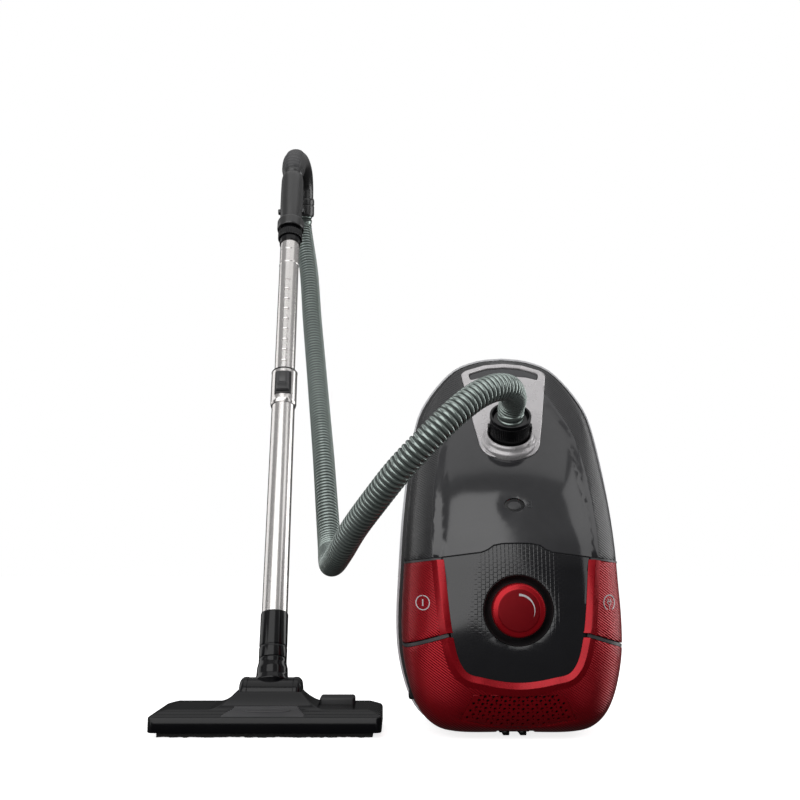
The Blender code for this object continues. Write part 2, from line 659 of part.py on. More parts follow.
def hose_route():
    """The hose's centre line, from inside the inlet cuff to the handle's swivel."""
    base = cover(0.0, INLET_Z)
    axis = Vector((0, -math.sin(INLET_TILT), math.cos(INLET_TILT)))
    start = base + axis * (0.0282 + GAP)
    wand = wand_frame()
    end, down = handle_end()
    end, down = wand @ end, wand.to_3x3() @ down
    last = end + down * (SWIVEL_SEAT + 2 * GAP)
    leaving = [start + axis * s for s in (0.0, 0.009, 0.020)]
    arriving = [last + down * s for s in (0.034, 0.012, 0.0)]
    return leaving + [Vector(p) for p in HOSE_MIDDLE] + arriving


def hose():
    route = [tuple(p) for p in hose_route()]
    swept("hose", route, [HOSE_D / 2] * len(route), HOSE_BORE / 2, HOSE, None, HOSE_SIDES, 3)


# ---------------------------------------------------------------- running gear
def running_gear():
    for name, side in (("wheel_left", -1), ("wheel_right", 1)):
        seat = Matrix.Translation((side * WHEEL_X, WHEEL_Y, WHEEL_Z)) @ ACROSS
        half = WHEEL_WIDTH / 2
        tyre = [(0.0049, -half), (0.036, -half + 0.001), (0.045, -half), (WHEEL_R, -half + 0.006),
                (WHEEL_R, half - 0.006), (0.045, half), (0.036, half - 0.001), (0.0049, half)]
        turned(name, tyre, RUBBER, seat, 26, closed=True)
    axle = Matrix.Translation((0, WHEEL_Y, WHEEL_Z)) @ ACROSS
    reach_x = WHEEL_X + WHEEL_WIDTH / 2 + 0.003
    turned("rear_axle", [(0, -reach_x), (0.0045, -reach_x), (0.0045, reach_x), (0, reach_x)], STEEL, axle, 16)
    stem = Matrix.Translation((0, UNDERSIDE_Y, CASTER_Z)) @ Matrix.Rotation(math.radians(-90), 4, "X")
    fork = [(0, -0.012), (0.0044, -0.012), (0.0044, 0.0004), (0.014, 0.0006), (0.015, 0.0045), (0, 0.0045)]
    item = turned("caster_fork", fork, BLACK, stem, 24)
    cheeks = [block("cheek", (x - 0.0015, 0.0, 0.003), (x + 0.0015, 0.016, 0.018), BLACK, stem)
              for x in (-0.0085, 0.0085)]
    join(item, *cheeks)
    wheel = stem @ Matrix.Translation((0.0, 0.010, 0.0120)) @ ACROSS
    tread = [(0, -0.0062), (0.005, -0.0062), (0.0050, -0.0058), (0.0068, -0.0055), (0.0070, 0.0055),
             (0.0050, 0.0058), (0.005, 0.0062), (0, 0.0062)]
    turned("caster_wheel", tread, RUBBER, wheel, 20)


def standing_foot():
    """The rubber pad that the parked canister rests on, and the grommet where the mains lead would leave."""
    block("stand_foot", (-0.070, -0.030, 0.0), (0.070, 0.080, 0.0029), RUBBER, None, 0.0010)
    outlet = block("cord_outlet", (-0.018, -0.058, 0.0012), (0.018, -0.0335, 0.0078), BLACK, None, 0.0012)
    bore = turned("slot", [(0, -0.03), (0.0042, -0.03), (0.0042, 0.03), (0, 0.03)], BLACK,
                  Matrix.Translation((0, -0.045, 0.005)))
    cut(outlet, bore)


# ---------------------------------------------------------------- wand
def wand_frame():
    turn = Matrix.Rotation(-LEAN_LEFT, 4, "Y") @ Matrix.Rotation(-LEAN_BACK, 4, "X")
    return Matrix.Translation(WAND_ORIGIN) @ turn


def handle_end():
    """Where the handle's hose end is, and which way it points, in the wand's frame."""
    line = smooth_curve(HANDLE_ROUTE, 2)
    return Vector(line[-1]), Vector(line[-1] - line[-2]).normalized()


def swept(name, route, radii, bore, colour, frame=None, sides=20, steps=2):
    """A pipe of changing radius along a route, with its sides carried along without twist."""
    centres = smooth_curve(route, steps)
    sizes = smooth_curve([(r, 0.0) for r in radii], steps)[:, 0]
    angles = [2 * math.pi * j / sides for j in range(sides)]
    side = Vector((1, 0, 0))
    outer, inner = [], []
    for k, (place, size) in enumerate(zip(centres, sizes)):
        along = Vector(centres[min(k + 1, len(centres) - 1)] - centres[max(k - 1, 0)]).normalized()
        side = (side - along * side.dot(along)).normalized()
        other = along.cross(side)
        spokes = [side * math.cos(a) + other * math.sin(a) for a in angles]
        outer.append([Vector(place) + spoke * size for spoke in spokes])
        inner.append([Vector(place) + spoke * bore for spoke in spokes])
    return lofted(name, outer + list(reversed(inner)), colour, frame, closed=True)


def tube(name, radius, bore, foot, top, colour, frame, sides=28):
    profile = [(bore, foot), (radius, foot), (radius, top), (bore, top)]
    return turned(name, profile, colour, frame, sides, closed=True)


def wand():
    frame = wand_frame()
    upper = tube("upper_tube", UPPER_R, UPPER_R - TUBE_WALL, UPPER_FOOT, UPPER_TOP, METAL, frame)
    notches = []
    for k in range(NOTCHES):
        h = NOTCH_FIRST + k * NOTCH_PITCH
        low, high = (-0.0045, -UPPER_R - 0.002, h), (0.0045, -UPPER_R + 0.0020, h + 0.0035)
        notches.append(block("slot", low, high, METAL))
    cut(upper, place(weld(notches), frame))
    tube("lower_tube", LOWER_R, LOWER_R - TUBE_WALL + 0.0002, SOCKET_TOP + GAP, 0.4700, METAL, frame)
    collar = [(LOWER_R + GAP, COLLAR_FOOT), (COLLAR_R - 0.0008, COLLAR_FOOT),
              (COLLAR_R, COLLAR_FOOT + 0.004), (COLLAR_R, COLLAR_TOP - 0.002),
              (COLLAR_R - 0.001, COLLAR_TOP), (UPPER_R + GAP, COLLAR_TOP), (UPPER_R + GAP, 0.4705),
              (LOWER_R + GAP, 0.4705)]
    item = turned("telescope_collar", collar, METAL, frame, 28, closed=True)
    opening = block("slot", (-0.0118, -0.0300, 0.4550), (0.0118, -0.0182, 0.4965), METAL, frame)
    cut(item, opening)
    block("telescope_button", (-0.0112, -0.0232, 0.4612), (0.0112, -0.0186, 0.4955), DARK, frame, 0.0012)
    socket = [(0.0150, SOCKET_FOOT + GAP), (0.0186, SOCKET_FOOT + GAP), (0.0186, SOCKET_TOP - 0.001),
              (0.0180, SOCKET_TOP), (LOWER_R - 0.0013, SOCKET_TOP), (LOWER_R - 0.0013, 0.150),
              (0.0150, 0.150)]
    turned("neck_socket", socket, BLACK, frame, 28, closed=True)
    handle_parts(frame)
    neck_elbow(frame)


def place(item, frame):
    item.matrix_world = frame
    return item


def handle_parts(frame):
    route = [(x, y, max(z, UPPER_TOP + 0.001)) for x, y, z in HANDLE_ROUTE]
    swept("handle_body", route, HANDLE_RADII, HANDLE_BORE, DARK, frame, 16)
    collar = [(UPPER_R + GAP, HANDLE_FOOT), (0.0172, HANDLE_FOOT), (0.0172, UPPER_TOP + 0.0005),
              (UPPER_R + GAP, UPPER_TOP + 0.0005)]
    turned("handle_collar", collar, BLACK, frame, 28, closed=True)
    nut = [(0.0176, 0.7740), (0.0200, 0.7740), (0.0206, 0.7760), (0.0206, 0.7880), (0.0176, 0.7880)]
    turned("handle_nut", nut, BLACK, frame, 36, closed=True)
    ring = [(0.0195, 0.7940), (0.0220, 0.7940), (0.0226, 0.7970), (0.0226, 0.8110), (0.0216, 0.8130),
            (0.0195, 0.8130)]
    turned("airflow_ring", ring, DARK, frame, 32, closed=True)
    end, down = handle_end()
    seat = frame @ Matrix.Translation(end + down * GAP) @ down.to_track_quat("Z", "Y").to_matrix().to_4x4()
    swivel = [(0.0135, 0.0), (0.0192, 0.0), (0.0205, 0.004), (0.0205, 0.030), (0.0195, 0.034),
              (0.0181, 0.034), (0.0181, SWIVEL_SEAT), (0.0135, SWIVEL_SEAT)]
    turned("hose_swivel", swivel, BLACK, seat, 28, closed=True)
    block("handle_grip", (-0.0105, -0.0225, 0.9270), (0.0105, -0.0175, 0.9620), RUBBER, frame, 0.002)


def neck_elbow(frame):
    axle = Matrix.Translation(WAND_ORIGIN) @ ACROSS
    shape = [(0, -BARREL_HALF), (BARREL_R - 0.004, -BARREL_HALF), (BARREL_R, -BARREL_HALF + 0.004),
             (BARREL_R, BARREL_HALF - 0.004), (BARREL_R - 0.004, BARREL_HALF), (0, BARREL_HALF)]
    item = turned("neck_elbow", shape, BLACK, axle, 32)
    throat = [(0, 0.010), (0.0203, 0.010), (0.0203, 0.036), (0.0186, 0.044), (0.0186, SOCKET_FOOT),
              (0, SOCKET_FOOT)]
    join(item, turned("throat", throat, BLACK, frame, 32))
    duct = [(0, -0.002), (0.0145, -0.002), (0.0145, 0.06), (0, 0.06)]
    cut(item, turned("slot", duct, BLACK, frame, 24))


# ---------------------------------------------------------------- floor head
def rounded_rectangle(x0, x1, y0, y1, radius, count=4):
    points = []
    corners = ((x1 - radius, y1 - radius, 0), (x0 + radius, y1 - radius, 90), (x0 + radius, y0 + radius, 180),
               (x1 - radius, y0 + radius, 270))
    for x, y, start in corners:
        for k in range(count + 1):
            a = math.radians(start + 90 * k / count)
            points.append((x + radius * math.cos(a), y + radius * math.sin(a)))
    return points


def head_housing():
    x0, x1 = HEAD_X - HEAD_HALF, HEAD_X + HEAD_HALF
    levels = [(HEAD_BASE, 0.0, 0.0, 0.006), (0.0240, 0.0006, 0.0, 0.006), (0.0262, 0.0030, 0.0015, 0.007),
              (HEAD_TOP, 0.0170, 0.0300, 0.010)]
    rings = []
    for z, side, front, radius in levels:
        loop = rounded_rectangle(x0 + side, x1 - side, HEAD_FRONT + front, HEAD_REAR - side * 0.2, radius)
        rings.append([(x, y, z) for x, y in loop])
    item = lofted("head_housing", rings, BLACK)
    rings = []
    for z, half, front, rear in ((0.0200, 0.066, -0.040, 0.034), (0.0300, 0.060, -0.036, 0.034),
                                 (0.0400, 0.050, -0.026, 0.020), (0.0470, 0.0455, -0.018, 0.010)):
        loop = rounded_rectangle(HEAD_X - 0.0023 - half, HEAD_X - 0.0023 + half, front, rear, 0.008)
        rings.append([(x, y, z) for x, y in loop])
    join(item, lofted("hump", rings, BLACK))
    cavity = block("slot", (x0 + 0.0090, HEAD_FRONT + 0.0050, -0.01), (x1 - 0.0090, 0.0290, 0.0180), BLACK)
    axle = Matrix.Translation(WAND_ORIGIN) @ ACROSS
    half, radius = BARREL_HALF + 0.0005, BARREL_R + 0.0006
    cradle = turned("slot", [(0, -half), (radius, -half), (radius, half), (0, half)], BLACK, axle, 40)
    x, _, z = WAND_ORIGIN
    rear = block("slot", (x - 0.0240, 0.010, 0.0080), (x + 0.0240, 0.060, 0.080), BLACK)
    pedal = block("slot", (PEDAL_X - 0.0232, -0.0005, 0.0160), (PEDAL_X + 0.0232, 0.0305, 0.060), BLACK)
    wheels = [block("slot", (HEAD_X + s * 0.105 - 0.006, 0.0200, -0.01),
                    (HEAD_X + s * 0.105 + 0.006, 0.0455, 0.0215), BLACK)
              for s in (-1, 1)]
    return cut(item, cavity, cradle, rear, pedal, *wheels)


def head_parts():
    x0, x1 = HEAD_X - HEAD_HALF, HEAD_X + HEAD_HALF
    sole = block("sole_plate", (x0 + 0.0250, -0.0520, 0.0030), (x1 - 0.0250, 0.0120, 0.0090), DARK, None,
                 0.0010)
    mouth = block("slot", (x0 + 0.0400, -0.0320, -0.01), (x1 - 0.0400, -0.0120, 0.0300), DARK)
    cut(sole, mouth)
    outer = rounded_rectangle(x0 + 0.0110, x1 - 0.0110, HEAD_FRONT + 0.0065, 0.0180, 0.006)
    inner = rounded_rectangle(x0 + 0.0240, x1 - 0.0240, -0.0535, 0.0135, 0.003)
    plate("brush_frame", outer, 0.0070, BLACK, None, inner)
    seat = Matrix.Translation((PEDAL_X, 0.0150, 0.0300))
    rings = []
    for k in range(7):
        y = -0.0145 + 0.029 * k / 6
        crown = 0.0095 - 30.0 * y * y
        rings.append([(-0.0227, y, -0.0060), (0.0227, y, -0.0060), (0.0227, y, crown), (-0.0227, y, crown)])
    lofted("brush_pedal", rings, DARK, seat)
    for name, side in (("head_wheel_left", -1), ("head_wheel_right", 1)):
        axle = Matrix.Translation((HEAD_X + side * 0.105, 0.0330,
                                   0.0100)) @ ACROSS
        turned(name, [(0, -0.0045), (0.0085, -0.0045), (0.0095, -0.0035), (0.0095, 0.0035),
                      (0.0085, 0.0045), (0, 0.0045)],
               RUBBER, axle, 24)


def exhaust_filter():
    block("exhaust_filter", (-0.046, -0.090, 0.0300), (0.046, -0.078, 0.0580), FILTER, None, 0.001)


def button_springs():
    for name, side in (("power_spring", -1), ("rewind_spring", 1)):
        inward = -outward(side * 0.110, 0.160)
        spot = cover(side * 0.110, 0.160) + inward * (WALL + 0.0012)
        seat = Matrix.Translation(spot) @ inward.to_track_quat("Z", "Y").to_matrix().to_4x4()
        coil(name, 0.0045, 0.0006, 0.014, 4, seat)


def coil(name, radius, wire, length, turns, frame, steps=8, sides=5):
    """A helical spring with flat-capped ends."""
    rings = []
    for k in range(turns * steps + 1):
        a = 2 * math.pi * k / steps
        centre = Vector((radius * math.cos(a), radius * math.sin(a),
                         wire + (length - 2 * wire) * k / (turns * steps)))
        out = Vector((math.cos(a), math.sin(a), 0))
        angles = [2 * math.pi * j / sides for j in range(sides)]
        rings.append([centre + out * wire * math.cos(b) + Vector((0, 0, wire * math.sin(b))) for b in angles])
    lofted(name, rings, STEEL, frame)


def main():
    clear_scene()
    lower_shell()
    seam_band()
    lid()
    inlet_bezel()
    centre_panel()
    side_button("power_button", -1)
    side_button("rewind_button", 1)
    divider("divider_left", -1)
    divider("divider_right", 1)
    red_shell()
    exhaust_grille()
    lid_latch()
    indicator()
    dial_parts()
    motor_group()
    cord_reel()
    bag_group()
    inlet_parts()
    hose()
    running_gear()
    standing_foot()
    wand()
    head_housing()
    head_parts()
    exhaust_filter()
    button_springs()


main()
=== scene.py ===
"""Looks of the parked cylinder vacuum cleaner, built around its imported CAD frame."""
import math

import bmesh
import bpy
import numpy as np
from mathutils import Matrix, Vector, noise
from mathutils.geometry import delaunay_2d_cdt


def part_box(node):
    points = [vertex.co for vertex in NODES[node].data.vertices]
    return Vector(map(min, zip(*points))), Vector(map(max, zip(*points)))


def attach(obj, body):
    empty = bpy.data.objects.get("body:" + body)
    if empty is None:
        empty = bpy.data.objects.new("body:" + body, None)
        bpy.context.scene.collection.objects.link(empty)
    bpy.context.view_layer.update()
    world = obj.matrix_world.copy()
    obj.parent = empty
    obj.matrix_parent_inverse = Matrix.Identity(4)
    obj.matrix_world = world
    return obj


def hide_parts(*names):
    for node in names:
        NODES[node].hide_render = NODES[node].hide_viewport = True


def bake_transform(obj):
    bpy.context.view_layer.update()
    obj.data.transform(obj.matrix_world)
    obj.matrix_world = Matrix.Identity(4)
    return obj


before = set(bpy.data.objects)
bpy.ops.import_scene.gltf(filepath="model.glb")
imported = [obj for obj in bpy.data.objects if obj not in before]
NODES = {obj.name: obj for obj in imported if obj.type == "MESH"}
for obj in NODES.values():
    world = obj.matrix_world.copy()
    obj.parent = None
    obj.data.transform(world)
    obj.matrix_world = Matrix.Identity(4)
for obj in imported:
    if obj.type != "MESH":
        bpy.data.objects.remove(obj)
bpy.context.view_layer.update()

# ---------------------------------------------------------------- the CAD's own driving dimensions, in metres
GAP, WALL = 0.0003, 0.003
OUTLINE = [(0.0, 0.004), (0.075, 0.004), (0.108, 0.014), (0.129, 0.041), (0.1425, 0.088), (0.146, 0.135),
           (0.1435, 0.195), (0.137, 0.286), (0.122, 0.387), (0.105, 0.431), (0.070, 0.4725), (0.035, 0.488),
           (0.0, 0.492)]
CENTRE_Z, UPPER_SHARE, UNDERSIDE_Y = 0.20, (0.952, 0.99), 0.085
CROWN = [(0.0, 0.120), (0.20, 0.120), (0.28, 0.107), (0.35, 0.086), (0.42, 0.063), (0.50, 0.042)]
SIDE_POWER, END_POWER = 2.8, 4.2
LID_LINE = [(0.150, 0.2105), (0.043, 0.2243), (0.035, 0.2275), (0.028, 0.2325), (0.018, 0.2347),
            (0.0, 0.2352)]
TONGUE = [(0.0915, 0.2185), (0.081, 0.126), (0.067, 0.0845), (0.040, 0.0735), (0.0, 0.0682)]
BUTTON_FOOT, DIVIDER_DEPTH = [(0.083, 0.1290), (0.150, 0.1045)], 0.0046
BEZEL = [(0.0, 0.342), (0.026, 0.3445), (0.0375, 0.3545), (0.0455, 0.394), (0.0575, 0.4645), (0.052, 0.4695),
         (0.026, 0.4775), (0.0, 0.4800)]
WINDOW = [(0.0, 0.4610), (0.030, 0.4585), (0.0455, 0.4545), (0.0475, 0.4640), (0.042, 0.4665),
          (0.022, 0.4725), (0.0, 0.4742)]
GRILLE = [(0.0535, 0.0575), (0.0700, 0.0270), (0.036, 0.0195), (0.0, 0.0165)]
DIAL_Z, DIAL_R, DISH_R = 0.156, 0.034, 0.0420
INDICATOR_Z, INDICATOR_HALF = 0.2825, (0.0125, 0.0085)
INLET_Z, INLET_TILT, INLET_HOLE_R, CUFF_R, CUFF_LENGTH = 0.372, math.radians(45), 0.0300, 0.0265, 0.036
HOSE_D = 0.034
WHEEL_R, WHEEL_WIDTH, WHEEL_X, WHEEL_Y, WHEEL_Z = 0.050, 0.026, 0.113, 0.062, 0.090
CASTER_Z = 0.400
WAND_ORIGIN = Vector((-0.3088, 0.0160, 0.0373))
LEAN_BACK, LEAN_LEFT = math.radians(23.8), math.radians(1.46)
LOWER_R, UPPER_R = 0.0175, 0.01585
SOCKET_FOOT, SOCKET_TOP = 0.0500, 0.1130
COLLAR_FOOT, COLLAR_TOP, COLLAR_R = 0.4430, 0.5030, 0.0198
UPPER_FOOT, UPPER_TOP, HANDLE_FOOT = 0.3600, 0.8000, 0.7620
NOTCH_FIRST, NOTCH_PITCH, NOTCHES = 0.5150, 0.0200, 9
HANDLE_ROUTE = [(0.0, 0.0, 0.762), (0.0, 0.0, 0.840), (0.0, 0.0, 0.903), (0.0, 0.001, 0.920),
                (0.0, 0.005, 0.940), (0.001, 0.019, 0.972), (0.004, 0.049, 1.000), (0.007, 0.083, 1.009),
                (0.007, 0.112, 1.003), (0.006, 0.128, 0.986)]
HANDLE_RADII = [0.0172, 0.0190, 0.0190, 0.0172, 0.0200, 0.0210, 0.0200, 0.0190, 0.0185, 0.0185]
SWIVEL_SEAT = 0.0256
HEAD_X, HEAD_HALF = -0.3065, 0.1430
HEAD_FRONT, HEAD_REAR = -0.0742, 0.0390
BARREL_R, BARREL_HALF = 0.0255, 0.0405
PEDAL_X = -0.2220
HOSE_MIDDLE = [(0.000, -0.098, 0.415), (-0.010, -0.134, 0.421), (-0.029, -0.158, 0.418),
               (-0.054, -0.178, 0.404), (-0.083, -0.192, 0.379), (-0.113, -0.192, 0.349),
               (-0.143, -0.178, 0.318), (-0.170, -0.150, 0.286), (-0.196, -0.108, 0.254),
               (-0.215, -0.060, 0.226), (-0.229, 0.005, 0.210), (-0.237, 0.075, 0.212),
               (-0.243, 0.135, 0.237), (-0.251, 0.190, 0.293), (-0.261, 0.255, 0.368),
               (-0.273, 0.325, 0.450), (-0.286, 0.395, 0.542), (-0.299, 0.455, 0.639),
               (-0.310, 0.505, 0.735)]


# ---------------------------------------------------------------- curves and the canister's surface
def smooth_curve(points, steps):
    """A smooth curve through every point, as part.py draws it."""
    data = np.array(points, float)
    result = []
    for k, (a, b) in enumerate(zip(data, data[1:])):
        before = data[k - 1] if k > 0 else 2 * data[0] - data[1]
        after = data[k + 2] if k + 2 < len(data) else 2 * data[-1] - data[-2]
        for s in range(steps):
            t = s / steps
            result.append(0.5 * (2 * a + (b - before) * t + (2 * before - 5 * a + 4 * b - after) * t * t
                                 + (3 * a - before - 3 * b + after) * t ** 3))
    return np.array(result + [data[-1]])


def around(count):
    """The cosine and sine of even steps around a circle."""
    angles = [2 * math.pi * k / count for k in range(count)]
    return [(math.cos(a), math.sin(a)) for a in angles]


def mirrored(half):
    """A half outline and its mirror image."""
    half = [tuple(p) for p in half]
    return half + [(-x, z) for x, z in reversed(half) if x > 1e-6]


def polar_table(share):
    """The outline as angles from its centre and distances, scaled by share."""
    curve = smooth_curve(OUTLINE, 12)
    x = curve[:, 0] * share[0]
    z = (curve[:, 1] - OUTLINE[0][1]) * share[1] + OUTLINE[0][1] - CENTRE_Z
    return np.arctan2(x, z)[::-1], np.hypot(x, z)[::-1]


LOWER_TABLE = polar_table((1.0, 1.0))
UPPER_TABLE = polar_table(UPPER_SHARE)
CROWN_CURVE = smooth_curve(CROWN, 8)


def reach(x, z):
    """The cover's outline seen from its centre: how far it is in the direction of (x, z)."""
    return float(np.interp(math.atan2(abs(x), z - CENTRE_Z), *UPPER_TABLE))


def parting(z):
    """How far back the covers and the tub meet, by height."""
    t = min(max((z - 0.20) / 0.29, 0.0), 1.0)
    return 0.050 * t * t * (3 - 2 * t)


def power(x, z):
    """How square the cover's section is in the direction of (x, z)."""
    down = max(0.0, -math.cos(math.atan2(abs(x), z - CENTRE_Z)))
    return SIDE_POWER + (END_POWER - SIDE_POWER) * down ** 2


def cover(x, z):
    """The point of the plain cover in front of (x, z)."""
    share = min(math.hypot(x, z - CENTRE_Z) / reach(x, z), 1.0)
    n = power(x, z)
    rise = float(np.interp(z, CROWN_CURVE[:, 0], CROWN_CURVE[:, 1]))
    return Vector((x, parting(z) - rise * max(0.0, 1 - share ** n) ** (1 / n), z))


def spread(x, z):
    """Flatten the cover: (x, z) to a plane in which its steep rim has room."""
    r = math.hypot(x, z - CENTRE_Z)
    if r < 1e-9:
        return 0.0, 0.0
    limit = reach(x, z)
    share = 2 / math.pi * math.asin(min(r / limit, 1.0) ** (power(x, z) / 2))
    return x / r * limit * share, (z - CENTRE_Z) / r * limit * share


def gather(u, v):
    """The reverse of spread."""
    r = math.hypot(u, v)
    if r < 1e-9:
        return 0.0, CENTRE_Z
    limit = reach(u, v + CENTRE_Z)
    share = math.sin(min(r / limit, 1.0) * math.pi / 2) ** (2 / power(u, v + CENTRE_Z))
    return u / r * limit * share, v / r * limit * share + CENTRE_Z


def outward(x, z):
    """The cover's normal."""
    share = math.hypot(x, z - CENTRE_Z) / reach(x, z)
    if share > 0.995:
        x, z = x * 0.995 / share, (z - CENTRE_Z) * 0.995 / share + CENTRE_Z
    e = 0.0006
    across = cover(x + e, z) - cover(x - e, z)
    along = cover(x, z + e) - cover(x, z - e)
    return along.cross(across).normalized() * -1


def shrink(loop, by):
    """Move a loop inwards."""
    area = sum(a[0] * b[1] - b[0] * a[1] for a, b in zip(loop, loop[1:] + loop[:1]))
    turn = 1 if area > 0 else -1
    result = []
    for k, (x, z) in enumerate(loop):
        (xa, za), (xb, zb) = loop[k - 1], loop[(k + 1) % len(loop)]
        first = Vector((z - za, xa - x)).normalized() if (x - xa or z - za) else Vector((0, 0))
        second = Vector((zb - z, x - xb)).normalized() if (xb - x or zb - z) else first
        normal = (first + second)
        normal = normal / max(normal.length_squared / 2, 0.5)
        result.append((x - turn * normal.x * by, z - turn * normal.y * by))
    return result


def densify(loop, step):
    """Split a loop's edges into steps."""
    result = []
    for (x0, z0), (x1, z1) in zip(loop, loop[1:] + loop[:1]):
        parts = max(1, math.ceil(math.hypot(x1 - x0, z1 - z0) / step))
        result += [(x0 + (x1 - x0) * k / parts, z0 + (z1 - z0) * k / parts) for k in range(parts)]
    return result


def near_outline(x, z):
    return math.hypot(x, z - CENTRE_Z) >= reach(x, z) - 0.0015


def onto_outline(x, z):
    """Move a point that is close to the outline onto it."""
    if not near_outline(x, z):
        return x, z
    r, limit = math.hypot(x, z - CENTRE_Z), reach(x, z)
    return x * limit / r, (z - CENTRE_Z) * limit / r + CENTRE_Z


def corner(before, here, after, radius, count):
    """The points of a curve that rounds one corner."""
    a, b = before - here, after - here
    cut = min(radius, a.length * 0.45, b.length * 0.45)
    first, last = here + a.normalized() * cut, here + b.normalized() * cut
    bent = [first * (1 - t) ** 2 + here * 2 * t * (1 - t) + last * t * t
            for t in (s / count for s in range(count + 1))]
    return [(q.x, q.y) for q in bent]


def rounded(loop, radius, count=5):
    """Round a loop's corners."""
    result = []
    for k, p in enumerate(loop):
        here, before, after = Vector(p), Vector(loop[k - 1]), Vector(loop[(k + 1) % len(loop)])
        a, b = before - here, after - here
        straight = a.length < 1e-6 or b.length < 1e-6 or a.normalized().dot(b.normalized()) < -0.97
        result += [tuple(p)] if straight else corner(before, here, after, radius, count)
    return result


def contains(loops, points):
    """Which of many points lie inside the first loop and outside the others."""
    points = np.asarray(points, float)
    result = np.zeros(len(points), int)
    for n, loop in enumerate(loops):
        a = np.asarray(loop, float)
        b = np.roll(a, -1, axis=0)
        hit = np.zeros(len(points), bool)
        for (x0, z0), (x1, z1) in zip(a, b):
            if z0 == z1:
                continue
            crosses = ((z0 > points[:, 1]) != (z1 > points[:, 1]))
            hit ^= crosses & (points[:, 0] < (x1 - x0) * (points[:, 1] - z0) / (z1 - z0) + x0)
        result += np.where(hit, 1 if n == 0 else -5, 0)
    return result > 0


def edge_angle(z):
    angle, limit = UPPER_TABLE
    return float(np.interp(-z, -(CENTRE_Z + limit * np.cos(angle)), angle))


def outline_stretch(z0, z1, side, steps=10):
    """The outline between two heights."""
    angles = np.linspace(edge_angle(z0), edge_angle(z1), steps)
    limits = np.interp(angles, *UPPER_TABLE)
    return [(side * float(r * math.sin(a)), CENTRE_Z + float(r * math.cos(a)))
            for a, r in zip(angles, limits)]


def level(line, x):
    """The height of a line at x."""
    return float(np.interp(abs(x), *zip(*sorted(line))))


def oval(z, half_x, half_z, count=14, x=0.0):
    return [(x + half_x * c, z + half_z * s) for c, s in around(count)]


# The crease between the centre and the raised sides: from the nose down around the centre panel.
CREASE = [(0.040, 0.4420), (0.058, 0.4100), (0.076, 0.3700), (0.086, 0.3200), (0.0905, 0.2650),
          (0.0915, 0.2185), (0.0865, 0.1700), (0.081, 0.126), (0.0755, 0.1040), (0.067, 0.0845),
          (0.055, 0.0775), (0.040, 0.0735), (0.020, 0.0695), (0.0, 0.0682)]
CREASE_CURVE = smooth_curve(CREASE, 4)
BEVEL_WIDTH, BEVEL_RISE = 0.0085, 0.0026
STRIP_DEPTH = 0.0028


def beyond_crease(x, z):
    """Distance outwards from the crease: negative over the centre."""
    p = np.array((abs(x), z))
    a, b = CREASE_CURVE[:-1], CREASE_CURVE[1:]
    t = np.clip(((p - a) * (b - a)).sum(1) / ((b - a) ** 2).sum(1), 0, 1)
    gap = p - (a + (b - a) * t[:, None])
    k = int(np.argmin((gap ** 2).sum(1)))
    side = (b[k] - a[k])[0] * gap[k][1] - (b[k] - a[k])[1] * gap[k][0]
    return math.copysign(float(np.hypot(*gap[k])), side)


def relief(x, z):
    """How far the raised sides stand proud of the plain cover."""
    d = beyond_crease(x, z)
    if d <= 0:
        return 0.0
    share = math.hypot(x, z - CENTRE_Z) / reach(x, z)
    fade = min(max((1.0 - share) / 0.08, 0.0), 1.0) * min(max((0.452 - z) / 0.06, 0.0), 1.0)
    return BEVEL_RISE * min(d / BEVEL_WIDTH, 1.0) * fade


def piece(name, work, look, body, nodes=(), matrix=None, angle=35):
    """Finish a bmesh as one object that rides on a body and may stand for CAD nodes."""
    bmesh.ops.recalc_face_normals(work, faces=work.faces)
    mesh = bpy.data.meshes.new(name)
    work.to_mesh(mesh)
    work.free()
    item = bpy.data.objects.new(name, mesh)
    bpy.context.scene.collection.objects.link(item)
    looks = look if isinstance(look, list) else [look]
    for key in looks:
        mesh.materials.append(M[key])
    mesh.shade_smooth()
    mesh.set_sharp_from_angle(angle=math.radians(angle))
    if matrix is not None:
        mesh.transform(matrix)
    if body:
        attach(item, body)
    if nodes:
        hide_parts(*nodes)
    return item


def join(work, made, wrap=True):
    """Faces between equal rows of vertices."""
    count = len(made[0])
    for low, high in zip(made, made[1:]):
        for k in range(count if wrap else count - 1):
            n = (k + 1) % count
            work.faces.new((low[k], low[n], high[n], high[k]))


def grid(work, rows, wrap=True, cap=True):
    """Join equal rows of points into faces, and close the ends."""
    made = [[work.verts.new(p) for p in row] for row in rows]
    join(work, made, wrap)
    if cap and wrap:
        for row in (made[0], made[-1]):
            work.faces.new(row)
    return made


def closed_grid(rows, merge=1e-7):
    """A bmesh of rows whose last row joins the first."""
    work = bmesh.new()
    grid(work, rows + rows[:1], cap=False)
    bmesh.ops.remove_doubles(work, verts=work.verts, dist=merge)
    return work


def turned(name, profile, look, body, nodes=(), seat=None, sides=96, closed=False, ripple=None, angle=35):
    """Turn (radius, height) points about Z. ripple changes the radius by angle and height."""
    work = bmesh.new()
    rings = []
    for radius, height in profile:
        if radius < 1e-6:
            rings.append([work.verts.new((0, 0, height))])
            continue
        ring = []
        for k in range(sides):
            a = 2 * math.pi * k / sides
            r = radius + (ripple(a, radius, height) if ripple else 0.0)
            ring.append(work.verts.new((r * math.cos(a), r * math.sin(a), height)))
        rings.append(ring)
    for low, high in list(zip(rings, rings[1:])) + ([(rings[-1], rings[0])] if closed else []):
        for k in range(sides):
            n = (k + 1) % sides
            corners = [low[k % len(low)], low[n % len(low)], high[n % len(high)], high[k % len(high)]]
            unique = list(dict.fromkeys(corners))
            if len(unique) > 2:
                work.faces.new(unique)
    return piece(name, work, look, body, nodes, seat, angle)


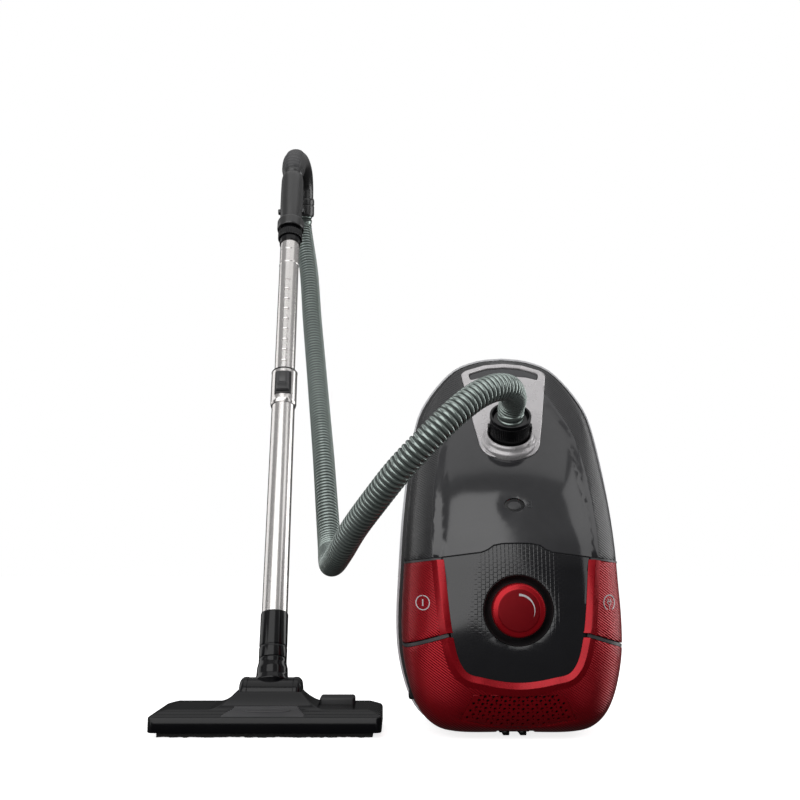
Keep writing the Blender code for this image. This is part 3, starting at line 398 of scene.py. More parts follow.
def soften(profile, radius=0.0008, count=3):
    """Round the corners of an open (radius, height) profile."""
    places = [Vector(p) for p in profile]
    result = [profile[0]]
    for before, here, after in zip(places, places[1:], places[2:]):
        result += corner(before, here, after, radius, count)
    return result + [profile[-1]]


def block(name, low, high, look, body, nodes=(), matrix=None, round_by=0.001, segments=3):
    work = bmesh.new()
    bmesh.ops.create_cube(work, size=1.0)
    for vert in work.verts:
        vert.co = Vector([(a + b) / 2 + (b - a) * c for a, b, c in zip(low, high, vert.co)])
    bmesh.ops.bevel(work, geom=work.edges[:], offset=round_by, segments=segments, profile=0.5, affect="EDGES")
    return piece(name, work, look, body, nodes, matrix)


def skin(name, loop, look, body, nodes=(), holes=(), lift=0.0, wall=WALL, step=0.0045, trim=0.0,
         relief_by=relief, index_by=None, lines=(), round_by=0.0008, hole_step=None):
    """A panel of the cover's surface inside a loop, with a wall, rounded borders and a relief."""
    borders = [[onto_outline(*p) for p in densify(shrink(loop, GAP / 2), step)]]
    borders += [densify(shrink(hole, -GAP / 2), hole_step or step) for hole in holes]
    points, edges = [], []
    for border in borders:
        start = len(points)
        points += [Vector(spread(*p)) for p in border]
        edges += [(start + k, start + (k + 1) % len(border)) for k in range(len(border))]
    flat = [[tuple(spread(*p)) for p in border] for border in borders]
    for n, border in enumerate(borders[:1] if round_by else []):
        ring = shrink(border, round_by if n == 0 else -round_by)
        keep = [not near_outline(*p) for p in ring]
        start = len(points)
        points += [Vector(spread(*p)) for p in ring]
        edges += [(start + k, start + (k + 1) % len(ring)) for k in range(len(ring))
                  if keep[k] and keep[(k + 1) % len(ring)]]
    for line in lines:
        line = [p for p in line if contains(flat, [spread(*p)])[0]]
        start = len(points)
        points += [Vector(spread(*p)) for p in line]
        edges += [(start + k, start + k + 1) for k in range(len(line) - 1)
                  if math.dist(line[k], line[k + 1]) < 0.02]
    rim = np.array([tuple(p) for p in points])
    low, high = np.array(flat[0]).min(axis=0), np.array(flat[0]).max(axis=0)
    us = np.arange(low[0] + step / 2, high[0], step)
    vs = np.arange(low[1] + step / 2, high[1], step)
    mesh_points = np.array([(u + (step / 2 if j % 2 else 0), v) for j, v in enumerate(vs) for u in us])
    if len(mesh_points):
        mesh_points = mesh_points[contains(flat, mesh_points)]
        clear = [np.min(np.hypot(rim[:, 0] - u, rim[:, 1] - v)) > 0.5 * step for u, v in mesh_points]
        points += [Vector(p) for p in mesh_points[np.array(clear, bool)]]
    places, _, triangles, *_ = delaunay_2d_cdt(points, edges, [], 0, 1e-7)
    centres = np.array([sum((places[k] for k in t), Vector((0, 0))) / 3 for t in triangles])
    wanted = contains(flat, centres)
    kept = [tuple(t) for t, w in zip(triangles, wanted) if w]
    count = {}
    for t in kept:
        for a, b in ((t[0], t[1]), (t[1], t[2]), (t[2], t[0])):
            count[frozenset((a, b))] = count.get(frozenset((a, b)), 0) + 1
    open_verts = {k for pair, n in count.items() if n == 1 for k in pair}
    work = bmesh.new()
    outer, inner, flat_place = {}, {}, {}
    for k in sorted({k for t in kept for k in t}):
        x, z = gather(*places[k])
        flat_place[k] = (x, z)
        spot, normal = cover(x, z), outward(x, z)
        rise = relief_by(x, z) if relief_by else 0.0
        drop = round_by * 0.8 if k in open_verts else 0.0
        for layer, depth in ((outer, lift + rise - drop), (inner, lift + rise - wall)):
            corner = spot + normal * depth
            corner.y = min(corner.y, parting(corner.z) - trim)
            layer[k] = work.verts.new(corner)
    for a, b, c in kept:
        face = work.faces.new((outer[a], outer[b], outer[c]))
        if index_by:
            x = (flat_place[a][0] + flat_place[b][0] + flat_place[c][0]) / 3
            z = (flat_place[a][1] + flat_place[b][1] + flat_place[c][1]) / 3
            face.material_index = index_by(x, z)
        work.faces.new((inner[c], inner[b], inner[a]))
        for start, end in ((a, b), (b, c), (c, a)):
            if count[frozenset((start, end))] == 1:
                work.faces.new((outer[end], outer[start], inner[start], inner[end]))
    return piece(name, work, look, body, nodes, angle=38)


# ---------------------------------------------------------------- materials
def new_material(name, colour, roughness, metallic=0.0, specular=0.5, coat=0.0):
    mat = bpy.data.materials.new(name)
    mat.use_nodes = True
    shader = mat.node_tree.nodes["Principled BSDF"]
    for key, value in (("Base Color", (*colour, 1.0)), ("Roughness", roughness), ("Metallic", metallic),
                       ("Specular IOR Level", specular), ("Coat Weight", coat), ("Coat Roughness", 0.1)):
        shader.inputs[key].default_value = value
    return mat


def node(mat, kind, **values):
    item = mat.node_tree.nodes.new(kind)
    for key, value in values.items():
        if key in item.inputs:
            item.inputs[key].default_value = value
        else:
            setattr(item, key, value)
    return item


def coords(mat, scale=(1, 1, 1), rotation=(0, 0, 0)):
    link = mat.node_tree.links.new
    source = node(mat, "ShaderNodeTexCoord")
    mapping = node(mat, "ShaderNodeMapping", Scale=scale, Rotation=rotation)
    link(source.outputs["Object"], mapping.inputs["Vector"])
    return mapping.outputs["Vector"]


def vary(mat, colour, amount, scale, stretch=(1, 1, 1), rough=None, bump=0.0, bump_scale=None,
         distance=0.0004):
    """Give a material a slightly uneven colour and roughness, and a fine grain."""
    link = mat.node_tree.links.new
    shader = mat.node_tree.nodes["Principled BSDF"]
    where = coords(mat, stretch)
    cloud = node(mat, "ShaderNodeTexNoise", Scale=scale, Detail=3.0)
    link(where, cloud.inputs["Vector"])
    ramp = node(mat, "ShaderNodeValToRGB")
    ramp.color_ramp.elements[0].position, ramp.color_ramp.elements[1].position = 0.3, 0.7
    ramp.color_ramp.elements[0].color = (*[c * (1 - amount) for c in colour], 1)
    ramp.color_ramp.elements[1].color = (*[min(c * (1 + amount), 1) for c in colour], 1)
    link(cloud.outputs["Fac"], ramp.inputs["Fac"])
    link(ramp.outputs["Color"], shader.inputs["Base Color"])
    if rough:
        uneven = node(mat, "ShaderNodeMapRange", **{"To Min": rough[0], "To Max": rough[1]})
        link(cloud.outputs["Fac"], uneven.inputs["Value"])
        link(uneven.outputs["Result"], shader.inputs["Roughness"])
    if bump:
        grain = node(mat, "ShaderNodeTexNoise", Scale=bump_scale or scale * 8, Detail=2.0)
        link(where, grain.inputs["Vector"])
        raised = node(mat, "ShaderNodeBump", Strength=bump, Distance=distance)
        link(grain.outputs["Fac"], raised.inputs["Height"])
        link(raised.outputs["Normal"], shader.inputs["Normal"])
    return mat


def plastic(name, colour, roughness, grain=0.15, **more):
    mat = new_material(name, colour, roughness, **more)
    return vary(mat, colour, 0.05, 60, rough=(roughness * 0.85, roughness * 1.2), bump=grain,
                bump_scale=900, distance=0.0003)


LINE_PITCH, LINE_TURN = 0.0026, (0, math.radians(55), 0)


def add_lines(mat, depth, distance):
    """Add fine parallel lines to a material's bump."""
    link = mat.node_tree.links.new
    shader = mat.node_tree.nodes["Principled BSDF"]
    wave = node(mat, "ShaderNodeTexWave", Scale=2 * math.pi / LINE_PITCH / 20.0, Distortion=0.0)
    link(coords(mat, rotation=LINE_TURN), wave.inputs["Vector"])
    raised = node(mat, "ShaderNodeBump", Strength=depth, Distance=distance)
    link(wave.outputs["Fac"], raised.inputs["Height"])
    old = shader.inputs["Normal"].links
    if old:
        link(old[0].from_socket, raised.inputs["Normal"])
    link(raised.outputs["Normal"], shader.inputs["Normal"])
    return mat


GREY_C, RED_C = (0.034, 0.034, 0.037), (0.40, 0.006, 0.014)
M = {}
M["lid"] = plastic("lid_gloss", GREY_C, 0.115, grain=0.012, specular=0.75)
M["lid_side"] = add_lines(plastic("lid_textured", (0.026, 0.026, 0.028), 0.33, grain=0.1, specular=0.6),
                          0.8, 0.0004)
M["panel"] = plastic("panel_gloss", (0.017, 0.017, 0.019), 0.12, grain=0.012, specular=0.7)
M["silver"] = plastic("bezel_silver", (0.62, 0.60, 0.61), 0.27, metallic=0.35, grain=0.04)
M["latch"] = plastic("latch_grey", (0.060, 0.060, 0.064), 0.30, grain=0.05)
M["red"] = plastic("red_gloss", RED_C, 0.27, grain=0.04, metallic=0.55, specular=0.35, coat=0.12)
M["dial"] = plastic("dial_red", (0.22, 0.004, 0.008), 0.30, grain=0.04, metallic=0.45, specular=0.15)
# Painted highlight: a brighter, glossier copy of the dial's red for its bevel and knurled rim.
M["dial_edge_painted_highlight"] = plastic("dial_edge_red_painted_highlight", (0.48, 0.008, 0.016), 0.28, grain=0.04, metallic=0.55, specular=0.4)
M["red_side"] = add_lines(plastic("red_textured", RED_C, 0.33, grain=0.08, metallic=0.55, specular=0.35,
                                  coat=0.08), 1.0, 0.0005)
M["divider"] = plastic("divider_dark", (0.055, 0.055, 0.058), 0.42, grain=0.2)
M["pale"] = plastic("shell_pale", (0.68, 0.68, 0.70), 0.40, grain=0.15)
M["black"] = plastic("black_gloss", (0.005, 0.005, 0.006), 0.15, grain=0.01, specular=0.35)
M["satin"] = plastic("black_satin", (0.012, 0.012, 0.013), 0.42, grain=0.25)
M["handle"] = plastic("handle_black", (0.026, 0.026, 0.027), 0.30, grain=0.10, specular=0.8)
M["dish"] = plastic("dish_dark", (0.020, 0.019, 0.020), 0.30, grain=0.05)
M["mark"] = plastic("mark_silver", (0.62, 0.60, 0.62), 0.35, grain=0.02)
M["rubber"] = vary(new_material("rubber_black", (0.020, 0.020, 0.021), 0.75), (0.020, 0.020, 0.021), 0.25,
                   120, rough=(0.65, 0.9), bump=0.4, bump_scale=700)
M["tube"] = vary(new_material("tube_metal", (0.78, 0.76, 0.745), 0.30, metallic=0.92), (0.78, 0.755, 0.74),
                 0.02, 30, stretch=(18, 18, 0.6), rough=(0.20, 0.25), bump=0.01, bump_scale=60,
                 distance=0.0001)
M["steel"] = vary(new_material("steel_plain", (0.5, 0.5, 0.5), 0.35, metallic=1.0), (0.52, 0.52, 0.53),
                  0.12, 80, stretch=(1, 1, 12), rough=(0.28, 0.42), bump=0.1)
M["copper"] = vary(new_material("copper_wound", (0.45, 0.2, 0.1), 0.4, metallic=0.9), (0.45, 0.20, 0.10),
                   0.35, 300, stretch=(1, 1, 6), rough=(0.3, 0.5), bump=0.5, bump_scale=600)
M["board"] = vary(new_material("board_green", (0.03, 0.16, 0.07), 0.45), (0.03, 0.15, 0.07), 0.3, 180,
                  bump=0.2)
M["felt"] = vary(new_material("felt_pale", (0.78, 0.78, 0.76), 0.95), (0.76, 0.76, 0.74), 0.12, 150,
                 rough=(0.9, 1.0), bump=0.9, bump_scale=1200, distance=0.001)
M["paper"] = vary(new_material("fleece_bag", (0.70, 0.68, 0.62), 0.9), (0.70, 0.68, 0.62), 0.08, 60,
                  rough=(0.85, 1.0), bump=0.7, bump_scale=900, distance=0.0008)
M["bristle"] = vary(new_material("bristle_black", (0.012, 0.012, 0.012), 0.8), (0.014, 0.014, 0.014), 0.5,
                    400, stretch=(1, 1, 0.1), rough=(0.7, 0.95), bump=0.9, bump_scale=1500, distance=0.001)
M["hose"] = vary(new_material("hose_green_grey", (0.36, 0.42, 0.39), 0.25, metallic=0.68, specular=0.6),
                 (0.360, 0.420, 0.395), 0.06, 40, rough=(0.22, 0.29), bump=0.03, bump_scale=700)
# Painted shade: a darker, duller copy of the hose plastic for the faces deep in each rib valley.
M["hose_valley_painted_shade"] = vary(new_material("hose_valley_painted_shade", (0.045, 0.058, 0.053), 0.55), (0.045, 0.058, 0.053),
                        0.10, 40, rough=(0.5, 0.6), bump=0.05, bump_scale=700)
M["lens"] = plastic("lens_smoked", (0.012, 0.012, 0.013), 0.12, grain=0.0, specular=0.6)


def honeycomb(mat):
    """A fine cell pattern around the dial, fading out towards the sides."""
    link = mat.node_tree.links.new
    shader = mat.node_tree.nodes["Principled BSDF"]
    bricks = node(mat, "ShaderNodeTexBrick", Scale=1.0, offset=0.5, Color1=(1, 1, 1, 1), Color2=(1, 1, 1, 1),
                  Mortar=(0, 0, 0, 1), **{"Brick Width": 0.0058, "Row Height": 0.0048, "Mortar Size": 0.0009,
                                          "Mortar Smooth": 1.0})
    split = node(mat, "ShaderNodeSeparateXYZ")
    link(coords(mat), split.inputs["Vector"])
    upright = node(mat, "ShaderNodeCombineXYZ")
    link(split.outputs["Z"], upright.inputs["X"])
    link(split.outputs["X"], upright.inputs["Y"])
    link(upright.outputs["Vector"], bricks.inputs["Vector"])
    side = node(mat, "ShaderNodeMath", operation="ABSOLUTE")
    link(split.outputs["X"], side.inputs[0])
    fade = node(mat, "ShaderNodeMapRange", **{"From Min": 0.045, "From Max": 0.062, "To Min": 1.0,
                                              "To Max": 0.0})
    link(side.outputs[0], fade.inputs["Value"])
    low = node(mat, "ShaderNodeMapRange", **{"From Min": 0.125, "From Max": 0.150, "To Min": 0.0,
                                             "To Max": 1.0})
    link(split.outputs["Z"], low.inputs["Value"])
    mask = node(mat, "ShaderNodeMath", operation="MULTIPLY")
    link(fade.outputs["Result"], mask.inputs[0])
    link(low.outputs["Result"], mask.inputs[1])
    height = node(mat, "ShaderNodeMath", operation="MULTIPLY")
    link(bricks.outputs["Color"], height.inputs[0])
    link(mask.outputs[0], height.inputs[1])
    raised = node(mat, "ShaderNodeBump", Strength=0.30, Distance=0.0004)
    link(height.outputs[0], raised.inputs["Height"])
    link(shader.inputs["Normal"].links[0].from_socket, raised.inputs["Normal"])
    link(raised.outputs["Normal"], shader.inputs["Normal"])


honeycomb(M["panel"])


# ---------------------------------------------------------------- camera
def camera():
    data = bpy.data.cameras.new("camera")
    data.lens, data.sensor_width = 47.25, 36
    data.clip_start = 0.05
    item = bpy.data.objects.new("camera", data)
    item.location = (-0.141, -1.393, 0.23)
    item.rotation_euler = (math.radians(98), 0, 0)
    bpy.context.scene.collection.objects.link(item)
    bpy.context.scene.camera = item


camera()


# ---------------------------------------------------------------- hose
def wand_frame():
    """The leaning wand's own frame, in which Z runs up along its tube."""
    turn = Matrix.Rotation(-LEAN_LEFT, 4, "Y") @ Matrix.Rotation(-LEAN_BACK, 4, "X")
    return Matrix.Translation(WAND_ORIGIN) @ turn


WAND = wand_frame()
INLET_AXIS = Vector((0, -math.sin(INLET_TILT), math.cos(INLET_TILT)))
INLET_BASE = cover(0.0, INLET_Z)
INLET = Matrix.Translation(INLET_BASE) @ INLET_AXIS.to_track_quat("Z", "Y").to_matrix().to_4x4()


def handle_end():
    """Where the handle ends, and its direction there, in the wand's frame."""
    line = smooth_curve(HANDLE_ROUTE, 2)
    return Vector(line[-1]), Vector(line[-1] - line[-2]).normalized()


CUFF_SEAT = 0.0282                        # how far out of the inlet the hose starts, inside its cuff


def hose_route():
    """The hose's points, the same as in part.py: from the cuff to the handle's lower end."""
    start = INLET_BASE + INLET_AXIS * (CUFF_SEAT + GAP)
    end, down = handle_end()
    end, down = WAND @ end, WAND.to_3x3() @ down
    last = end + down * (SWIVEL_SEAT + 2 * GAP)
    leaving = [start + INLET_AXIS * s for s in (0.0, 0.009, 0.020)]
    arriving = [last + down * s for s in (0.034, 0.012, 0.0)]
    return leaving + [Vector(p) for p in HOSE_MIDDLE] + arriving


def even_path(points, step):
    """Points an even step apart along a smooth curve."""
    fine = smooth_curve([tuple(p) for p in points], 40)
    run = np.concatenate([[0], np.cumsum(np.linalg.norm(np.diff(fine, axis=0), axis=1))])
    count = int(round(run[-1] / step))
    at = np.linspace(0, run[-1], count + 1)
    return np.stack([np.interp(at, run, fine[:, k]) for k in range(3)], axis=1), at


def pipe_rows(path, radii, sides):
    """Rings across a path, with as little twist as possible."""
    rows, side = [], Vector((1, 0, 0))
    for k, place in enumerate(path):
        ahead = path[min(k + 1, len(path) - 1)] - path[max(k - 1, 0)]
        along = Vector(ahead).normalized()
        side = (side - along * side.dot(along)).normalized()
        other = along.cross(side)
        rows.append([Vector(place) + (side * c + other * s) * radii[k] for c, s in around(sides)])
    return rows


RIB_PITCH, RIB_DEPTH, RINGS_PER_RIB, HOSE_SIDES = 0.0064, 0.0024, 12, 36


def hose():
    """The ribbed hose, with painted shade in its valleys: faces at the bottom of each rib get a darker,
    duller material.
    """
    path, at = even_path(hose_route(), RIB_PITCH / RINGS_PER_RIB)
    valley = 0.5 + 0.5 * np.cos(2 * math.pi * at / RIB_PITCH)
    radii = HOSE_D / 2 - RIB_DEPTH * valley ** 2.2
    work = bmesh.new()
    grid(work, pipe_rows(path, radii, HOSE_SIDES))
    work.verts.index_update()
    for face in work.faces:
        ring = min(vert.index for vert in face.verts) // HOSE_SIDES
        # Faces deep in a rib valley take the darker material: painted shade.
        face.material_index = int(valley[min(ring, len(valley) - 1)] > 0.70)
    item = piece("hose_ribbed", work, ["hose", "hose_valley_painted_shade"], None, angle=180)
    item.visible_glossy = False
    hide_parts("hose")
    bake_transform(item)


hose()


# ---------------------------------------------------------------- canister covers
def lid_edge(x):
    """The height of the lid's lower edge."""
    return level(LID_LINE, x)


def side_index(x, z):
    """The textured look beyond the bevel."""
    return 1 if beyond_crease(x, z) > BEVEL_WIDTH * 0.98 else 0


def crease_lines():
    """Lines for the mesh to follow: both edges of the bevel, on both sides."""
    inner = [tuple(p) for p in smooth_curve(CREASE, 6)]
    data = np.array(inner)
    along = np.gradient(data, axis=0)
    normal = np.stack([-along[:, 1], along[:, 0]], axis=1)
    normal /= np.linalg.norm(normal, axis=1)[:, None]
    normal[normal[:, 0] < -0.2] *= -1
    outer = []
    for (x, z), (nx, nz) in zip(inner, normal):
        a, b = (x + nx * BEVEL_WIDTH, z + nz * BEVEL_WIDTH), (x - nx * BEVEL_WIDTH, z - nz * BEVEL_WIDTH)
        outer.append(a if beyond_crease(*a) > 0 else b)
    result = []
    for line in (inner, outer):
        result += [line, [(-x, z) for x, z in line]]
    return result


LINES = crease_lines()
TONGUE_X = TONGUE[0][0]
RIM_X, BUTTON_RIM_X = 0.133, 0.1365       # where the buttons' lower and upper edges meet the outline


def tongue_line(steps):
    """The centre panel's edge inside the red covers, from the lid's edge down to the middle."""
    return [tuple(p) for p in smooth_curve([(TONGUE_X, lid_edge(TONGUE_X))] + TONGUE[1:], steps)]


def lid():
    top = [p for p in outline_stretch(lid_edge(0.137), 0.4905, 1, 40) if p[0] > 0.004]
    line = [(x, z) for x, z in reversed(LID_LINE) if x < 0.14]
    half = line + [(0.1325, lid_edge(0.1325))] + top[1:] + [(0.0, CENTRE_Z + reach(0.0, 1.0))]
    bezel = rounded(mirrored(BEZEL), 0.010)
    skin("lid_cover", mirrored(half), ["lid", "lid_side"], "lid", ["lid"],
         [bezel, oval(INDICATOR_Z, *INDICATOR_HALF, 28)], index_by=side_index, lines=LINES)


def bezel():
    hole = oval(INLET_Z, INLET_HOLE_R, INLET_HOLE_R * 0.98, 64)
    skin("bezel_panel", rounded(mirrored(BEZEL), 0.010), "silver", "lid", ["inlet_bezel"],
         [hole, rounded(mirrored(WINDOW), 0.0035)], lift=0.0015, relief_by=None, step=0.0028)
    ring = [(0.0274, -0.0120), (0.0274, 0.0062), (0.0284, 0.0074), (0.0300, 0.0072), (0.0318, 0.0052),
            (0.0330, 0.0022), (0.0345, 0.0006), (0.0362, 0.0000), (0.0374, -0.0016), (0.0380, -0.0050),
            (0.0380, -0.0120), (0.0274, -0.0120)]
    turned("bezel_ring", soften(ring, 0.0009), "silver", "lid", (), INLET, 160, angle=60)
    skin("latch_panel", shrink(rounded(mirrored(WINDOW), 0.0035), 0.0004), "latch", "lid_latch",
         ["lid_latch"], lift=-0.0004, wall=0.0025, relief_by=None, step=0.003)


def centre_panel():
    half = [(x, z) for x, z in reversed(LID_LINE) if x < TONGUE_X] + tongue_line(6)
    skin("panel_cover", mirrored(half), "panel", "canister", ["centre_panel"],
         [oval(DIAL_Z, DISH_R + GAP, DISH_R + GAP, 96)], relief_by=None, step=0.004)


def side_button(name, side):
    foot = level(BUTTON_FOOT, RIM_X)
    edge = outline_stretch(lid_edge(BUTTON_RIM_X), foot, 1, 24)
    loop = [(0.0925, lid_edge(0.0925))] + edge + [BUTTON_FOOT[0]]
    skin(name + "_cover", shrink([(side * x, z) for x, z in loop], 0.0005), ["red", "red_side"], name,
         [name], index_by=side_index, lines=LINES, trim=0.0045, step=0.004)


LIP = [(-0.0035, -0.0008), (-0.0031, 0.0004), (0.0022, 0.0040), (0.0032, 0.0045), (0.0046, 0.0043),
       (0.0125, 0.0022), (0.0125, -0.0008)]


def lip(name, line, limit, body):
    """The raised, bevelled border along a red cover's inner edge."""
    work = bmesh.new()
    rows = []
    for k, (x, z) in enumerate(line):
        ahead = Vector(line[min(k + 1, len(line) - 1)]) - Vector(line[max(k - 1, 0)])
        side = Vector((-ahead.y, ahead.x)).normalized()
        side *= math.copysign(1.0, side.dot(Vector((x, z - DIAL_Z))))
        row = []
        for along, lift in LIP:
            px, pz = x + side.x * along, z + side.y * along
            pz = limit(px, pz)
            row.append(cover(px, pz) + outward(px, pz) * lift)
        rows.append(row)
    grid(work, rows)
    bmesh.ops.remove_doubles(work, verts=work.verts, dist=2e-5)
    piece(name, work, "red", body, (), angle=25)


def lips():
    start = [(TONGUE_X, lid_edge(TONGUE_X) + 0.004)] + TONGUE[1:]
    whole = [tuple(p) for p in smooth_curve(start + [(-x, z) for x, z in reversed(start[:-1])], 12)]
    tongue = [p for p in whole if p[0] >= -1e-6]

    def on_button(x, z):
        return min(max(z, level(BUTTON_FOOT, abs(x)) + 0.0005), lid_edge(abs(x)) - STRIP_DEPTH)

    def on_shell(x, z):
        return min(z, level(BUTTON_FOOT, abs(x)) - DIVIDER_DEPTH - 0.0005)
    upper = [p for p in tongue if p[1] > 0.116]
    lower = [p for p in tongue if p[1] < 0.133]
    for name, side in (("power_button", -1), ("rewind_button", 1)):
        lip(name + "_lip", [(side * x, z) for x, z in upper], on_button, name)
        edge = outline_stretch(lid_edge(BUTTON_RIM_X), lid_edge(BUTTON_RIM_X) - STRIP_DEPTH, 1, 4)
        loop = [(0.0905, lid_edge(0.0905) - 0.0003)] + edge + [(0.0905, lid_edge(0.0905) - STRIP_DEPTH)]
        skin(name + "_strip", [(side * x, z) for x, z in loop], "divider", "canister", (), step=0.0025,
             lift=0.0007, wall=0.002, round_by=0.0, trim=0.0040)
    lip("rear_lip", lower + [(-x, z) for x, z in reversed(lower)][1:], on_shell, "canister")


def divider(name, side):
    foot = level(BUTTON_FOOT, RIM_X)
    edge = outline_stretch(foot, foot - DIVIDER_DEPTH, 1, 4)
    x0, z0 = BUTTON_FOOT[0]
    loop = [(x0, z0)] + edge + [(x0 - 0.001, z0 - DIVIDER_DEPTH)]
    skin(name + "_cover", shrink([(side * x, z) for x, z in loop], 0.0003), "divider", "canister", [name],
         step=0.0025, lift=-0.0003, round_by=0.0)


def red_shell():
    foot = level(BUTTON_FOOT, RIM_X) - DIVIDER_DEPTH
    edge = outline_stretch(foot, OUTLINE[0][1] + 0.0005, 1, 44)
    start = (BUTTON_FOOT[0][0] - 0.001, BUTTON_FOOT[0][1] - DIVIDER_DEPTH)
    notch = [(0.024, OUTLINE[0][1] + 0.0005), (0.022, 0.0100), (0.0, 0.0100)]
    tongue = [p for p in tongue_line(6) if p[1] < start[1] - 0.002]
    half = list(reversed(tongue)) + [start] + [p for p in edge if p[0] > 0.03] + notch
    skin("rear_cover", mirrored(half), ["red", "red_side"], "canister", ["red_shell"], [mirrored(GRILLE)],
         index_by=side_index, lines=LINES, step=0.004)


def grille_holes():
    """Big and small vent holes in staggered rows."""
    holes, area = [], shrink(mirrored(GRILLE), 0.0022)
    rows = 9
    for row in range(rows):
        share = row / (rows - 1)
        z0 = 0.0555 - share * 0.0345
        half = 0.0500 + 0.0140 * share
        count = 11 if row % 2 == 0 else 10
        for k in range(count * 2 - 1):
            big = k % 2 == 0
            u = (k / (count * 2 - 2) * 2 - 1) * (1.0 if row % 2 == 0 else 0.91)
            x = u * half
            z = z0 - 0.0035 * share * (1 - u * u) - 0.0012 * (1 - u * u)
            r = 0.00185 if big else 0.00100
            if contains([area], [(x, z)])[0]:
                holes.append(oval(z if big else z + 0.0012, r, r, 8 if big else 6, x))
    return holes


def grille():
    skin("grille_panel", mirrored(GRILLE), "red", "canister", ["exhaust_grille"], grille_holes(),
         lift=BEVEL_RISE - 0.0010, relief_by=None, step=0.0045, hole_step=0.01, round_by=0.0004)
    skin("grille_backing", shrink(mirrored(GRILLE), -0.001), "satin", "canister", (), lift=-0.0040,
         wall=0.001, relief_by=None, step=0.008, round_by=0.0)


def mark(name, loops, body, look="mark", step=0.0016):
    """A thin printed symbol on the cover. Each entry is an outer loop and its holes."""
    for k, (outer, holes) in enumerate(loops):
        skin(f"{name}_{k}", outer, look, body, (), holes, lift=0.00025, wall=0.0004, step=step, round_by=0.0)


def bar(x0, z0, x1, z1, width):
    """A straight stroke of a symbol."""
    run = Vector((x1 - x0, z1 - z0)).normalized()
    side = Vector((-run.y, run.x)) * width / 2
    return [(x0 + side.x, z0 + side.y), (x0 - side.x, z0 - side.y), (x1 - side.x, z1 - side.y),
            (x1 + side.x, z1 + side.y)]


def arc(cx, cz, rx, rz, width, a0, a1, count=28):
    """A curved stroke of a symbol."""
    angles = [math.radians(a0 + (a1 - a0) * k / count) for k in range(count + 1)]
    outer = [(cx + (rx + width / 2) * math.cos(a), cz + (rz + width / 2) * math.sin(a)) for a in angles]
    inner = [(cx + (rx - width / 2) * math.cos(a), cz + (rz - width / 2) * math.sin(a))
             for a in reversed(angles)]
    return outer + inner


MARK_X, MARK_Z = 0.1115, 0.1635


def symbols():
    """Power and cord symbols on the side buttons, and a bag symbol beside the indicator."""
    x, z = -MARK_X, MARK_Z
    mark("power_mark", [(arc(x, z, 0.0078, 0.0085, 0.0014, 92, 448), []),
                        (bar(x, z - 0.0042, x, z + 0.0042, 0.0016), [])], "power_button")
    x = MARK_X
    mark("cord_mark", [(arc(x, z, 0.0078, 0.0090, 0.0014, -65, 245), []),
                       (bar(x - 0.0032, z + 0.0015, x + 0.0032, z + 0.0015, 0.0011), []),
                       (bar(x - 0.0016, z + 0.0018, x - 0.0016, z + 0.0048, 0.0010), []),
                       (bar(x + 0.0016, z + 0.0018, x + 0.0016, z + 0.0048, 0.0010), []),
                       (arc(x, z + 0.0010, 0.0026, 0.0036, 0.0010, 180, 360, 14), []),
                       (bar(x, z - 0.0026, x, z - 0.0078, 0.0010), [])], "rewind_button")
    x, z = 0.0190, INDICATOR_Z + 0.0003
    frame_loop = [(x - 0.0026, z - 0.0040), (x + 0.0026, z - 0.0040), (x + 0.0026, z + 0.0040),
                  (x - 0.0026, z + 0.0040)]
    hole = [(x - 0.0019, z - 0.0033), (x + 0.0019, z - 0.0033), (x + 0.0019, z + 0.0033),
            (x - 0.0019, z + 0.0033)]
    mark("bag_mark", [(frame_loop, [hole]), (arc(x, z + 0.0010, 0.0011, 0.0011, 0.0005, 2, 358, 14), [])],
         "lid", "latch", step=0.001)


def indicator():
    """The smoked window over the bag-full flag, set below the lid's surface."""
    skin("indicator_lens", oval(INDICATOR_Z, INDICATOR_HALF[0] - 0.0002, INDICATOR_HALF[1] - 0.0002, 36),
         "lens", "lid", (), lift=-0.0024, wall=0.0010, relief_by=None, step=0.002, round_by=0.0)
    skin("indicator_slot", oval(INDICATOR_Z - 0.0005, 0.0085, 0.0052, 28), "divider", "lid", (),
         lift=-0.0016, wall=0.0008, relief_by=None, step=0.002, round_by=0.0004)
    NODES["indicator_flag"].data.materials.clear()
    NODES["indicator_flag"].data.materials.append(M["red"])


# ---------------------------------------------------------------- dial
DIAL_SEAT = (Matrix.Translation(cover(0.0, DIAL_Z))
             @ outward(0.0, DIAL_Z).to_track_quat("Z", "Y").to_matrix().to_4x4())


